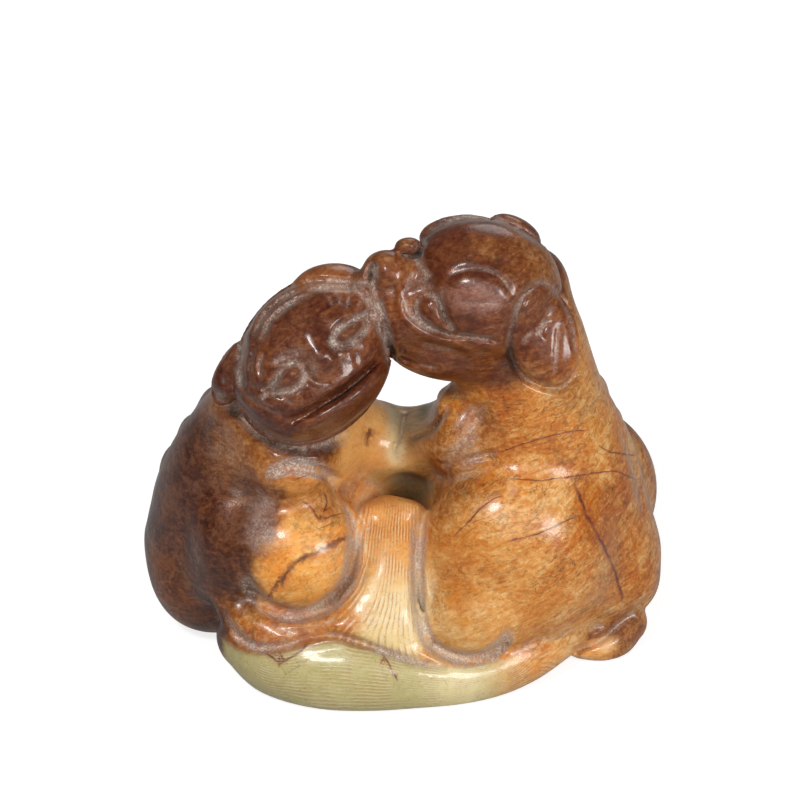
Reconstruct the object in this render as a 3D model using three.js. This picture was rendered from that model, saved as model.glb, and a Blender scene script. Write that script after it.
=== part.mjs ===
// Two lions carved as one piece of jade. They curl round a small well and their heads touch at the top.
// Millimetres. X runs to the right, Y away from the front, Z up, and the flat underside is at Z = 0.
import * as THREE from "three";

// Sizes that drive the rest
const STEP = 0.65; // grid on which the skin is found
const MOST_TRIANGLES = 9700; // the skin is thinned to this many
const FLOOR_ROUND = 0.8; // softening of the edge round the flat underside
const FRONT_TILT = 30; // degrees above level from which the front is laid out
const FRONT_REACH = 450; // distance from which the front is laid out
const FRONT_HEIGHT = 32.4; // height of the middle of the front layout
const LOW = [-36.2, -24.2, -2.35]; // corners of the block that holds the carving
const HIGH = [36.5, 23.5, 61.5];

const TORSO_ROUND = 3; // softness of the joins between big masses
const HAUNCH_ROUND = 2.6;
const PAW_ROUND = 1;
const EAR_ROUND = 0.5;
const FOLD_WIDTH = 0.75; // folds between haunch, tail and head
const FOLD_DEPTH = 1.2;
const MOUTH_WIDTH = 0.45;
const MOUTH_DEPTH = 1.5;
const EYE_LINE = 0.45;
const EYE_DEPTH = 0.7;

// The front layout: across, up and towards the viewer
const tilt = (FRONT_TILT * Math.PI) / 180;
const ACROSS = [1, 0, 0];
const UPWARD = [0, Math.sin(tilt), Math.cos(tilt)];
const TOWARDS = [0, -Math.cos(tilt), Math.sin(tilt)];

// The point at depth y that shows at (u, v) in the front layout
function at(u, v, y) {
  const camera = TOWARDS.map((c, i) => c * FRONT_REACH + (i === 2 ? FRONT_HEIGHT : 0));
  const ray = [0, 1, 2].map(
    (i) => -TOWARDS[i] + (u * ACROSS[i] + v * UPWARD[i]) / FRONT_REACH,
  );
  const t = (y - camera[1]) / ray[1];
  return camera.map((c, i) => c + t * ray[i]);
}

// Long, short and depth directions of a form turned by some degrees in the front layout
function turned(degrees) {
  const a = (degrees * Math.PI) / 180;
  const along = ACROSS.map((c, i) => Math.cos(a) * c + Math.sin(a) * UPWARD[i]);
  const over = ACROSS.map((c, i) => -Math.sin(a) * c + Math.cos(a) * UPWARD[i]);
  return [along, over, TOWARDS];
}

// Points of a smooth curve through the given ones
function curve(points, per) {
  if (points.length < 3) return points;
  const last = points.length - 1;
  const mirror = (a, b) => a.map((c, i) => 2 * c - b[i]);
  const p = [mirror(points[0], points[1]), ...points, mirror(points[last], points[last - 1])];
  const out = [];
  for (let i = 1; i < p.length - 2; i++) {
    for (let j = 0; j < per; j++) {
      const t = j / per;
      out.push(
        p[i].map((c, k) => {
          const a = p[i - 1][k];
          const d = p[i + 1][k];
          const e = p[i + 2][k];
          const square = 2 * a - 5 * c + 4 * d - e;
          const cube = -a + 3 * c - 3 * d + e;
          return 0.5 * (2 * c + (d - a) * t + square * t * t + cube * t * t * t);
        }),
      );
    }
  }
  out.push(points[last]);
  return out;
}

// Distances to the skin, held on a grid: below zero inside
const count = LOW.map((l, i) => Math.ceil((HIGH[i] - l) / STEP) + 1);
const [NX, NY, NZ] = count;
const field = new Float32Array(NX * NY * NZ).fill(6);
const index = (i, j, k) => (i * NY + j) * NZ + k;

function visit(low, high, work) {
  const from = low.map((l, i) => Math.max(0, Math.floor((l - LOW[i]) / STEP)));
  const to = high.map((h, i) => Math.min(count[i] - 1, Math.ceil((h - LOW[i]) / STEP)));
  for (let i = from[0]; i <= to[0]; i++)
    for (let j = from[1]; j <= to[1]; j++)
      for (let k = from[2]; k <= to[2]; k++)
        work(LOW[0] + i * STEP, LOW[1] + j * STEP, LOW[2] + k * STEP, index(i, j, k));
}

// Adds a distance to the field, or takes it away, with a soft join
function join(n, distance, soft, cut) {
  const a = field[n];
  const b = cut ? -distance : distance;
  const h = Math.max(soft - Math.abs(a - b), 0) / soft;
  field[n] = cut ? Math.max(a, b) + (h * h * soft) / 4 : Math.min(a, b) - (h * h * soft) / 4;
}

// An ellipsoid with its radii along three directions
function lump(centre, radii, soft, directions = null, cut = false) {
  const d = directions || [[1, 0, 0], [0, 1, 0], [0, 0, 1]];
  const reach = [0, 1, 2].map(
    (i) => Math.hypot(...d.map((v, k) => v[i] * radii[k])) + soft + 2,
  );
  const low = centre.map((c, i) => c - reach[i]);
  const high = centre.map((c, i) => c + reach[i]);
  visit(low, high, (x, y, z, n) => {
    const q = [x - centre[0], y - centre[1], z - centre[2]];
    let near = 0;
    let slope = 0;
    for (let k = 0; k < 3; k++) {
      const along = (d[k][0] * q[0] + d[k][1] * q[1] + d[k][2] * q[2]) / radii[k];
      near += along * along;
      slope += (along / radii[k]) ** 2;
    }
    near = Math.sqrt(near);
    join(n, (near * (near - 1)) / (Math.sqrt(slope) + 1e-6), soft, cut);
  });
}

// An ellipsoid set out in the front layout
const frontLump = (u, v, y, radii, degrees, soft) => lump(at(u, v, y), radii, soft, turned(degrees));

// A round limb through points of x, y, z and radius
function limb(points, soft, cut = false) {
  const path = curve(points, 8);
  const most = Math.max(...path.map((p) => p[3])) + soft + 2;
  const low = [0, 1, 2].map((i) => Math.min(...path.map((p) => p[i])) - most);
  const high = [0, 1, 2].map((i) => Math.max(...path.map((p) => p[i])) + most);
  visit(low, high, (x, y, z, n) => {
    let best = 50;
    for (let s = 0; s < path.length - 1; s++) {
      const a = path[s];
      const b = path[s + 1];
      const ab = [b[0] - a[0], b[1] - a[1], b[2] - a[2]];
      const square = Math.max(ab[0] ** 2 + ab[1] ** 2 + ab[2] ** 2, 1e-9);
      const dot = (x - a[0]) * ab[0] + (y - a[1]) * ab[1] + (z - a[2]) * ab[2];
      const t = Math.min(1, Math.max(0, dot / square));
      const gap = Math.hypot(x - a[0] - t * ab[0], y - a[1] - t * ab[1], z - a[2] - t * ab[2]);
      best = Math.min(best, gap - (a[3] + t * (b[3] - a[3])));
    }
    join(n, best, soft, cut);
  });
}

// A limb set out in the front layout through points of u, v, y and radius
const frontLimb = (points, soft, cut = false) =>
  limb(points.map(([u, v, y, r]) => [...at(u, v, y), r]), soft, cut);

// A flattened limb. Each point gives its place, half width, half thickness and the way it faces.
function strap(points, soft) {
  const path = curve(points, 8);
  const most = Math.max(...path.map((p) => p[3])) + soft + 2;
  const low = [0, 1, 2].map((i) => Math.min(...path.map((p) => p[i])) - most);
  const high = [0, 1, 2].map((i) => Math.max(...path.map((p) => p[i])) + most);
  const spans = [];
  for (let s = 0; s < path.length - 1; s++) {
    const a = path[s];
    const b = path[s + 1];
    const ab = new THREE.Vector3(b[0] - a[0], b[1] - a[1], b[2] - a[2]);
    const square = Math.max(ab.lengthSq(), 1e-9);
    const u = ab.clone().normalize();
    const facing = new THREE.Vector3((a[5] + b[5]) / 2, (a[6] + b[6]) / 2, (a[7] + b[7]) / 2);
    facing.addScaledVector(u, -facing.dot(u)).normalize();
    const w = new THREE.Vector3().crossVectors(u, facing);
    spans.push({ a, b, ab, square, u, facing, w });
  }
  const q = new THREE.Vector3();
  visit(low, high, (x, y, z, n) => {
    let best = 50;
    for (const { a, b, ab, square, u, facing, w } of spans) {
      q.set(x - a[0], y - a[1], z - a[2]);
      const t = Math.min(1, Math.max(0, q.dot(ab) / square));
      const wide = a[3] + t * (b[3] - a[3]);
      const thick = a[4] + t * (b[4] - a[4]);
      q.addScaledVector(ab, -t);
      const parts = [[q.dot(w) / wide, wide], [q.dot(facing) / thick, thick], [q.dot(u) / wide, wide]];
      const near = Math.hypot(...parts.map((p) => p[0]));
      const slope = Math.hypot(...parts.map((p) => p[0] / p[1]));
      best = Math.min(best, (near * (near - 1)) / (slope + 1e-6));
    }
    join(n, best, soft, false);
  });
}

function leftLion() {
  // rump, back and neck
  limb([[-20.9, 3, 10.4, 11.2], [-19.6, 1.8, 20, 9.8], [-16.2, 0.2, 29, 8], [-13.3, -2, 37, 7.3]], TORSO_ROUND);
  lump([-20.8, 10, 12.5], [10.2, 8.5, 10.5], TORSO_ROUND); // far haunch
  frontLump(-12.8, -17.8, -8.2, [7.6, 8.8, 8], 90, HAUNCH_ROUND); // near haunch
  lump([-24.2, -0.6, 7], [6.2, 6.2, 6.4], 2.5); // hock
  // the haunch runs smoothly into the back
  frontLump(-22.4, -20.6, -6, [3.2, 4, 3.6], 0, 2);
  frontLump(-20.4, -17.6, -7.4, [4.4, 6.4, 4.6], 10, 2.6);
  // knuckles of the spine
  for (const place of [[-20, 5.5, 32.2], [-22.6, 6.5, 28.2], [-25.4, 7.5, 23.6], [-27.6, 8, 18.6]])
    lump(place, [2, 2.6, 2], 1.8);
}

function rightLion() {
  limb([[20, 3, 11, 11.5], [19, 1.5, 21, 10.6], [16.1, 0.8, 31, 9.2], [14.3, 0.6, 40, 8.2]], TORSO_ROUND);
  lump([21.6, 9.5, 13.8], [10.9, 8.6, 11.8], 1.4); // far haunch
  lump([21.8, 0, 9.4], [10.6, 9, 10.2], TORSO_ROUND); // rump
  lump([14, -7.6, 15], [11.8, 8.6, 12.6], TORSO_ROUND); // near haunch
  for (const place of [[19.2, 5, 39.5], [21.2, 6, 34.8], [23.6, 7, 30], [25.6, 7.6, 25.2]])
    lump(place, [2, 2.6, 2], 1.8);
  frontLump(9.4, -26, -12.9, [6.4, 5.4, 5], 0, 2.4); // lower lobe of the near haunch
  frontLump(27.8, -22, -1, [3.5, 3.6, 6], 0, 1.5); // edge of the rump over the near foot
  frontLimb([[22.4, -29.3, -7.5, 2.4], [25.1, -29.1, -6.3, 3.1], [27.4, -27, -4, 2.8]], 0.6); // near foot
}

function middle() {
  // the stone left between the lions
  lump([0, 2, 5], [16, 15, 6.5], TORSO_ROUND);
  lump([-9, -9.5, 6.5], [9, 6, 6], 2);
  lump([6, -9.5, 6.5], [9, 6, 6], 2);
  lump([-9, 3, 13], [8, 9, 12], TORSO_ROUND);
  lump([10.5, 3, 16], [8, 9, 12], TORSO_ROUND);
  lump([1, 10, 12], [8, 7, 9], TORSO_ROUND);
  lump([1.5, 8, 18.5], [6.5, 4.5, 5], 2.5);
  lump([-8.4, -3.4, 34.8], [3.2, 2.8, 2.6], 1.5);
  lump([16, 12, 4], [7, 4, 4], 2);
  lump([-0.4, -8, 11], [6.5, 5.5, 7.5], 2);
  // shoulders and chests round the well
  frontLimb([[-13.4, -6.7, -6, 6], [-7.9, -4.6, 1, 5], [-3.4, -4.1, 6, 4.3], [0.1, -4.3, 7.4, 3.9]], 2.5);
  frontLimb([[9.1, -3.7, -1, 6.5], [5.9, -3.7, 3, 4.8], [2.9, -3.4, 7, 3.6]], 1.2);
  frontLump(0.4, -7.6, 5, [5.5, 4.6, 4.5], 0, 2);
  frontLump(-2.2, -5.4, 3, [5.2, 3.8, 4.2], -20, 2);
  frontLump(3.4, -5.7, 3, [4, 3.8, 4], 20, 1.5);
  // far forelegs crossing at the back
  limb([[-15, 8, 27, 5], [-7, 11.5, 22.5, 4.2], [2, 13.6, 18, 3.6], [5.5, 14, 15.6, 3.4]], 2);
  limb([[15, 8, 28, 5], [9, 12, 22, 4.2], [5, 14.2, 12, 3.4], [1.5, 15, 6, 3.2]], 1.6);
  // hind paws at the back
  limb([[-20, 13, 4, 3.4], [-11, 16, 3.2, 3.3], [-6, 16.4, 3, 3.1]], PAW_ROUND);
  limb([[21, 13, 4, 3.4], [14, 16, 3.2, 3.3], [9, 16.8, 3, 3.1]], PAW_ROUND);
}

function tails() {
  // the tail that falls between the near haunches
  frontLump(-0.9, -14.5, -5.2, [3.6, 2.1, 2.6], 0, PAW_ROUND);
  frontLump(1.2, -13.8, -5.2, [2, 1.5, 2.4], 0, 0.8);
  frontLump(-3.1, -14.2, -5.2, [1.9, 1.7, 2.4], 0, 0.8);
  strap(
    [
      [...at(-0.9, -14.4, -4.2), 3.5, 2.6, 0, -0.5, 1],
      [...at(-1, -17.7, -8.4), 3.5, 2.8, 0, -0.9, 0.8],
      [...at(-1.5, -22.6, -12.2), 4.3, 2.8, 0, -1, 0.6],
      [...at(-2.4, -26.8, -14.6), 5.8, 3, 0, -1, 0.4],
      [...at(-2.7, -31.1, -16), 8, 3, 0, -1, 0.3],
    ],
    PAW_ROUND,
  );
  // its two ends, swept to the left and to the right
  frontLimb(
    [
      [-1.8, -27.8, -15, 2.8],
      [-6.7, -27.8, -15.6, 2.7],
      [-12.2, -28.8, -15, 2.7],
      [-16.8, -27.8, -13.6, 2.6],
      [-20, -25.4, -11, 2.3],
      [-21.7, -21.9, -8.5, 1.6],
    ],
    PAW_ROUND,
  );
  frontLimb([[2.4, -31, -15, 2.3], [7.3, -32.6, -14.5, 1.9], [12.8, -31.4, -12.5, 1.8]], 1);
  // the tail that lies along the base
  limb(
    [
      [20, -8.5, 4.4, 3.2],
      [14.5, -12.4, 3.4, 3.8],
      [8, -15, 2.3, 4],
      [0, -15.7, 3.4, 5.1],
      [-8, -15.8, 3.7, 5.4],
      [-14.2, -13.6, 4.1, 5.3],
      [-17.8, -10.6, 5.2, 4.8],
    ],
    PAW_ROUND,
  );
  frontLimb([[-9.8, -32.7, -17.2, 2.6], [-4.9, -32.2, -17.8, 2.8], [-1, -33.6, -17.6, 2.4]], 1.2);
}

function heads() {
  frontLump(-3.9, 13.2, -6, [2.6, 2.6, 3], 54, 0.8); // where the heads touch
  // left head
  frontLump(-10.6, 4.9, -8, [10.9, 8.8, 8.6], 54, 1.6);
  frontLump(-11.8, 6.5, -4, [9.2, 6.5, 7], 52, 0.8); // roll of hair behind the crown
  frontLump(-8.3, 13.8, -4, [4.6, 2.8, 3.4], 4, EAR_ROUND); // far ear
  frontLump(-20.2, 3.4, -6.5, [4.4, 2.2, 3.2], 62, EAR_ROUND); // near ear
  // right head
  frontLump(10.1, 13.7, -3.5, [9.4, 8.4, 8.6], -12, 1.6);
  frontLump(16.6, 12.6, 3, [4.2, 6, 5], 0, 1.5); // nape
  frontLump(2.2, 11.9, -4, [5.6, 7.2, 6], -80, 1.8); // snout
  frontLump(6.7, 6.7, -3, [8.6, 4.4, 6], -5, 1.6); // jaw
  frontLump(-1.4, 15.6, -5.5, [2.6, 3.1, 3.2], -100, 1); // nose
  frontLump(1.1, 18.7, -4.5, [1.7, 1.1, 1.8], 0, 0.7); // knob on the nose
  frontLump(7.6, 20, 2, [5.2, 2.6, 3.5], 4, 0.6); // far brow
  frontLump(13.9, 20.2, 5, [3.6, 2.1, 3.5], -28, 0.6); // far ear
  frontLump(17.4, 7.9, -8.6, [6.4, 4.2, 2], -75, EAR_ROUND); // near ear
}

function openings() {
  frontLimb([[0.6, -11.3, -0.6, 2.3], [0.6, -14.1, -0.4, 2]], 1.2, true); // well between the bodies
  limb([[1.5, -30, 36.5, 3.1], [1.4, 0, 30.9, 3.1], [1.4, 30, 26.6, 3.1]], 1.5, true); // window
}

function flattenUnderside() {
  visit(LOW, HIGH, (x, y, z, n) => {
    const a = field[n];
    const h = Math.max(FLOOR_ROUND - Math.abs(a + z), 0) / FLOOR_ROUND;
    field[n] = Math.max(a, -z) + (h * h * FLOOR_ROUND) / 4;
  });
}

// Fills any hollow that can't be reached from outside
function fillHollows() {
  const open = new Uint8Array(field.length);
  const queue = [0];
  open[0] = 1;
  while (queue.length) {
    const n = queue.pop();
    const k = n % NZ;
    const j = ((n - k) / NZ) % NY;
    const i = (n - k - j * NZ) / (NY * NZ);
    const next = [];
    if (i > 0) next.push(n - NY * NZ);
    if (i < NX - 1) next.push(n + NY * NZ);
    if (j > 0) next.push(n - NZ);
    if (j < NY - 1) next.push(n + NZ);
    if (k > 0) next.push(n - 1);
    if (k < NZ - 1) next.push(n + 1);
    for (const m of next)
      if (!open[m] && field[m] >= 0) {
        open[m] = 1;
        queue.push(m);
      }
  }
  field.forEach((f, n) => {
    if (f >= 0 && !open[n]) field[n] = -0.05;
  });
}

// Skin near the surface that looks towards the front, with its place in the front layout
function frontSkin() {
  const skin = [];
  const reach = 2.4;
  for (let i = 1; i < NX - 1; i++)
    for (let j = 1; j < NY - 1; j++)
      for (let k = 1; k < NZ - 1; k++) {
        const n = index(i, j, k);
        if (Math.abs(field[n]) > reach) continue;
        const dy = field[n + NZ] - field[n - NZ];
        const dz = field[n + 1] - field[n - 1];
        if ((dy * TOWARDS[1] + dz * TOWARDS[2]) / (2 * STEP) < -0.05) continue;
        const x = LOW[0] + i * STEP;
        const y = LOW[1] + j * STEP;
        const z = LOW[2] + k * STEP - FRONT_HEIGHT;
        const depth = y * TOWARDS[1] + z * TOWARDS[2];
        const scale = FRONT_REACH / (FRONT_REACH - depth);
        skin.push([n, x * scale, (y * UPWARD[1] + z * UPWARD[2]) * scale, depth]);
      }
  return skin;
}

// A fold cut along a path in the front layout, or a ridge where depth is below zero.
// Only skin nearer to the viewer than the given depth is worked.
function fold(skin, points, width, depth, nearer, fade = 0.15) {
  const path = curve(points, 5);
  const margin = 3 * width;
  const lowU = Math.min(...path.map((p) => p[0])) - margin;
  const highU = Math.max(...path.map((p) => p[0])) + margin;
  const lowV = Math.min(...path.map((p) => p[1])) - margin;
  const highV = Math.max(...path.map((p) => p[1])) + margin;
  const lengths = [0];
  for (let s = 1; s < path.length; s++)
    lengths.push(lengths[s - 1] + Math.hypot(path[s][0] - path[s - 1][0], path[s][1] - path[s - 1][1]));
  const total = lengths[path.length - 1];
  for (const [n, u, v, d] of skin) {
    if (u < lowU || u > highU || v < lowV || v > highV || d < nearer) continue;
    let best = 1e9;
    let where = 0;
    for (let s = 0; s < path.length - 1; s++) {
      const [a, b] = [path[s], path[s + 1]];
      const ab = [b[0] - a[0], b[1] - a[1]];
      const square = Math.max(ab[0] ** 2 + ab[1] ** 2, 1e-9);
      const t = Math.min(1, Math.max(0, ((u - a[0]) * ab[0] + (v - a[1]) * ab[1]) / square));
      const gap = (u - a[0] - t * ab[0]) ** 2 + (v - a[1] - t * ab[1]) ** 2;
      if (gap < best) {
        best = gap;
        where = (lengths[s] + t * (lengths[s + 1] - lengths[s])) / total;
      }
    }
    const ends = fade ? Math.min(1, where / fade, (1 - where) / fade) ** 0.6 : 1;
    const edge = Math.min(1, d - nearer);
    field[n] += depth * ends * edge * Math.exp(-best / width ** 2);
  }
}

function carveBodies(skin) {
  // round the left haunch
  fold(
    skin,
    [
      [-16.8, -9.5],
      [-14.3, -8.3],
      [-11.6, -8.2],
      [-9.1, -9],
      [-7.1, -10.7],
      [-5.9, -12.8],
      [-5.5, -15.2],
      [-5.6, -18],
      [-6.3, -21.7],
      [-8.5, -24.7],
      [-11.9, -26.3],
      [-15.2, -25.8],
      [-17.9, -23.6],
      [-19.1, -21.3],
    ],
    FOLD_WIDTH,
    FOLD_DEPTH,
    0,
  );
  // left edge of the hanging tail
  fold(skin, [[-3.9, -12.8], [-4.6, -15.8], [-4.9, -19.5], [-5.9, -23.2], [-7.8, -25.8]], 0.5, 0.7, 2);
  // round the right haunch, by the hanging tail
  fold(
    skin,
    [
      [2.4, -12.2],
      [2.2, -17.1],
      [2.1, -21.9],
      [2.3, -25.6],
      [3.2, -28.8],
      [4.9, -30.7],
      [7.6, -31.6],
      [10.4, -31.3],
      [12.4, -29.9],
      [13.7, -27.8],
    ],
    FOLD_WIDTH,
    FOLD_DEPTH,
    0,
  );
  // above the tail on the base
  fold(
    skin,
    [
      [-22.9, -25.2],
      [-21.7, -27.8],
      [-19.5, -29.6],
      [-16.8, -31],
      [-13.4, -31.3],
      [-10.7, -30.5],
      [-7.3, -28.9],
      [-3.9, -29],
      [-0.6, -30.7],
      [2.4, -32.2],
      [6.1, -33.2],
    ],
    0.6,
    0.9,
    2,
  );
  fold(skin, [[-12.2, -31.3], [-9.8, -32.7], [-8, -35.4]], 0.6, 0.4, 2);
  // over the near foot
  fold(skin, [[21, -30.7], [24.4, -29.3], [27.8, -26.6], [30.8, -24.2]], 0.7, FOLD_DEPTH, -9);
  // crease above the right haunch, and its upper edge
  fold(skin, [[11.9, -6.3], [13.3, -8], [14, -11]], 0.45, 0.5, 6);
  fold(skin, [[2.9, -13.7], [4.6, -9.8], [7.6, -7.6], [11.9, -6.3]], 0.6, 0.8, 3);
  // where the far haunch shows at the right
  fold(skin, [[26.4, -3.2], [28, -6.6], [29, -11], [29.6, -14.5]], 0.45, 0.4, -99);
  // under the left head
  fold(
    skin,
    [
      [-23.4, 1.5],
      [-19.7, -1.5],
      [-16.8, -4.1],
      [-12.8, -5.9],
      [-8.5, -5.1],
      [-5.1, -3],
      [-2.7, -0.6],
    ],
    FOLD_WIDTH,
    FOLD_DEPTH,
    2,
  );
}

function carveLeftFace(skin) {
  fold(
    skin,
    [[-13.9, -3], [-12.2, -2.3], [-9.8, -0.9], [-7.3, 0.7], [-4.9, 2.7], [-2.9, 4.6], [-2, 6.1]],
    MOUTH_WIDTH,
    MOUTH_DEPTH,
    3,
    0.05,
  );
  // lower lip
  fold(skin, [[-14.1, -4.1], [-11.2, -3.5], [-7.6, -1.3], [-4.6, 1.1], [-2.2, 3.9]], 1, -0.35, 3);
  // eyes: a ring, a ball and a brow each
  const nearEye = [
    [-15.8, 1.2],
    [-14.9, 3.2],
    [-13.4, 4.5],
    [-11.8, 4.4],
    [-11.6, 2.7],
    [-12.4, 1.5],
    [-14.1, 1.1],
    [-15.8, 1.2],
  ];
  const farEye = [
    [-8.5, 7.8],
    [-6.7, 9.3],
    [-4.1, 10.6],
    [-4.3, 9.3],
    [-5.2, 7.7],
    [-6.9, 6.8],
    [-8.4, 7.6],
  ];
  fold(skin, nearEye, EYE_LINE, EYE_DEPTH, 1, 0);
  fold(skin, farEye, EYE_LINE, EYE_DEPTH, 1, 0);
  fold(skin, [[-14.3, 2.3], [-13.2, 3.4]], 0.8, -0.5, 3, 0);
  fold(skin, [[-6.7, 7.9], [-5.5, 8.8]], 0.8, -0.5, 3, 0);
  fold(skin, [[-12.7, 5.9], [-11.1, 4.1], [-11, 2]], 0.9, 0.45, 3);
  fold(skin, [[-9, 9.5], [-6.8, 10.7], [-4.1, 11.8]], 1, -0.45, 3);
  fold(skin, [[-15.8, 3.4], [-14.6, 5.1], [-12.4, 6.1]], 1, -0.4, 0);
  // nose and the line round it
  fold(skin, [[-10.7, 9.1], [-9.8, 6.7], [-8.8, 4.4]], 1.5, -0.8, 3);
  fold(skin, [[-10.5, 5.9], [-10.1, 3.7], [-8.5, 2.3], [-6.8, 3.7]], 0.4, 0.5, 3);
  // edge of the face and the roll of hair
  fold(skin, [[-12.2, 13], [-8.5, 13.5], [-5.4, 13.7], [-3.7, 12.2], [-2.7, 9.5], [-1.5, 6.1]], 0.45, 0.45, 0);
  fold(skin, [[-12.4, 13.3], [-14.6, 11.8], [-16.3, 9.5], [-17.7, 6.7], [-18.7, 3.4], [-18.8, 2]], 0.5, 0.6, -2);
  fold(skin, [[-12.4, 14.1], [-15.6, 12.4], [-17.7, 10], [-19.1, 7.6]], 0.5, 0.6, -6);
  // ears
  fold(skin, [[-11.9, 14.3], [-8.5, 14.5], [-3.4, 14.1]], 0.45, 0.8, -6);
  fold(skin, [[-18.5, 7.6], [-19.1, 5.9], [-19.4, 3.4], [-19, 1]], 0.45, 0.6, -1);
  // where the two heads touch
  fold(skin, [[-1.5, 4.9], [-1.7, 8.5], [-2.7, 11.6], [-3.4, 14.1], [-3.2, 16.1]], 0.7, FOLD_DEPTH, -6, 0);
}

function carveRightFace(skin) {
  // heavy eyelid, the brow over it and the slit under it
  fold(skin, [[7.6, 13.7], [11.2, 13.7]], 2.2, -0.7, -2, 0);
  fold(skin, [[6.3, 15.6], [8.5, 16.2], [11.2, 15.8], [13.4, 14.1]], 0.6, 0.45, -2);
  fold(skin, [[4.9, 14], [5.6, 11.6], [6.8, 9.1]], 0.6, 0.35, -2);
  fold(skin, [[6.1, 11.9], [8.3, 11.5], [12.7, 11.8]], 0.4, 0.5, -2);
  // mouth, with the curl of the lip at its corner
  fold(
    skin,
    [[2.9, 12.7], [2.1, 11.6], [2.6, 10], [4.1, 8.8], [6.1, 8], [8.5, 7.7], [11.9, 7.2]],
    0.45,
    0.9,
    -2,
    0.1,
  );
  fold(skin, [[2.9, 12.7], [4.1, 11.9], [4.9, 10.4], [5.9, 8.8]], 0.42, 0.7, -2, 0.1);
  fold(skin, [[0.1, 10.2], [1.8, 8.8], [4.6, 7.3], [7.6, 7.1]], 0.9, -0.35, -2);
  fold(skin, [[-0.2, 14], [-0.2, 11.8], [1.2, 10]], 0.8, -0.3, -2);
  // under the jaw, and the dip before the brow
  fold(skin, [[0, 5.2], [2.4, 4.4], [4.9, 3.8]], 0.4, 0.5, -4);
  fold(skin, [[2.9, 19.5], [2.2, 17.7], [2.7, 14.9], [4.6, 13.9]], 0.6, 0.5, -2);
  // ear
  fold(
    skin,
    [[14.4, 12.7], [13.7, 9.8], [13.3, 6.7], [14.1, 3.9], [15.8, 2.4], [18.5, 1.5], [20.7, 2], [21.7, 3.7]],
    0.5,
    0.9,
    -2,
  );
  fold(skin, [[15.4, 13.4], [17.7, 14], [19.5, 12.2], [20.7, 9.1], [21.6, 4.3]], 0.45, 0.45, -4);
}

// Triangles of the skin, from six tetrahedra to a cell, so that the surface always closes
function findSkin() {
  const corner = (c) => [c & 1, (c >> 1) & 1, (c >> 2) & 1];
  const cells = [[0, 1, 3, 7], [0, 3, 2, 7], [0, 2, 6, 7], [0, 6, 4, 7], [0, 4, 5, 7], [0, 5, 1, 7]];
  const points = [];
  const faces = [];
  const made = new Map();
  const place = (n) => {
    const k = n % NZ;
    const j = ((n - k) / NZ) % NY;
    const i = (n - k - j * NZ) / (NY * NZ);
    return [LOW[0] + i * STEP, LOW[1] + j * STEP, LOW[2] + k * STEP];
  };
  const crossing = (a, b) => {
    const key = a < b ? a * field.length + b : b * field.length + a;
    const known = made.get(key);
    if (known !== undefined) return known;
    const [low, high] = a < b ? [a, b] : [b, a];
    const t = Math.min(0.97, Math.max(0.03, field[low] / (field[low] - field[high])));
    const [p, q] = [place(low), place(high)];
    points.push(p.map((c, i) => c + t * (q[i] - c)));
    made.set(key, points.length - 1);
    return points.length - 1;
  };
  const add = (a, b, c, inner, outer) => {
    const [p, q, r] = [points[a], points[b], points[c]];
    const out = place(outer).map((v, i) => v - place(inner)[i]);
    const e = q.map((v, i) => v - p[i]);
    const f = r.map((v, i) => v - p[i]);
    const normal = [e[1] * f[2] - e[2] * f[1], e[2] * f[0] - e[0] * f[2], e[0] * f[1] - e[1] * f[0]];
    const facing = normal[0] * out[0] + normal[1] * out[1] + normal[2] * out[2];
    faces.push(facing > 0 ? [a, b, c] : [a, c, b]);
  };
  for (let i = 0; i < NX - 1; i++)
    for (let j = 0; j < NY - 1; j++)
      for (let k = 0; k < NZ - 1; k++) {
        const at8 = [0, 1, 2, 3, 4, 5, 6, 7].map((c) => {
          const [x, y, z] = corner(c);
          return index(i + x, j + y, k + z);
        });
        const below = at8.filter((n) => field[n] < 0).length;
        if (below === 0 || below === 8) continue;
        for (const cell of cells) {
          const inside = cell.filter((c) => field[at8[c]] < 0).map((c) => at8[c]);
          const outside = cell.filter((c) => field[at8[c]] >= 0).map((c) => at8[c]);
          if (inside.length === 1) {
            const [a, b, c] = outside.map((n) => crossing(inside[0], n));
            add(a, b, c, inside[0], outside[0]);
          } else if (inside.length === 3) {
            const [a, b, c] = inside.map((n) => crossing(n, outside[0]));
            add(a, b, c, inside[0], outside[0]);
          } else if (inside.length === 2) {
            const a = crossing(inside[0], outside[0]);
            const b = crossing(inside[0], outside[1]);
            const c = crossing(inside[1], outside[1]);
            const d = crossing(inside[1], outside[0]);
            add(a, b, c, inside[0], outside[0]);
            add(a, c, d, inside[0], outside[0]);
          }
        }
      }
  return { points, faces };
}

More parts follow.
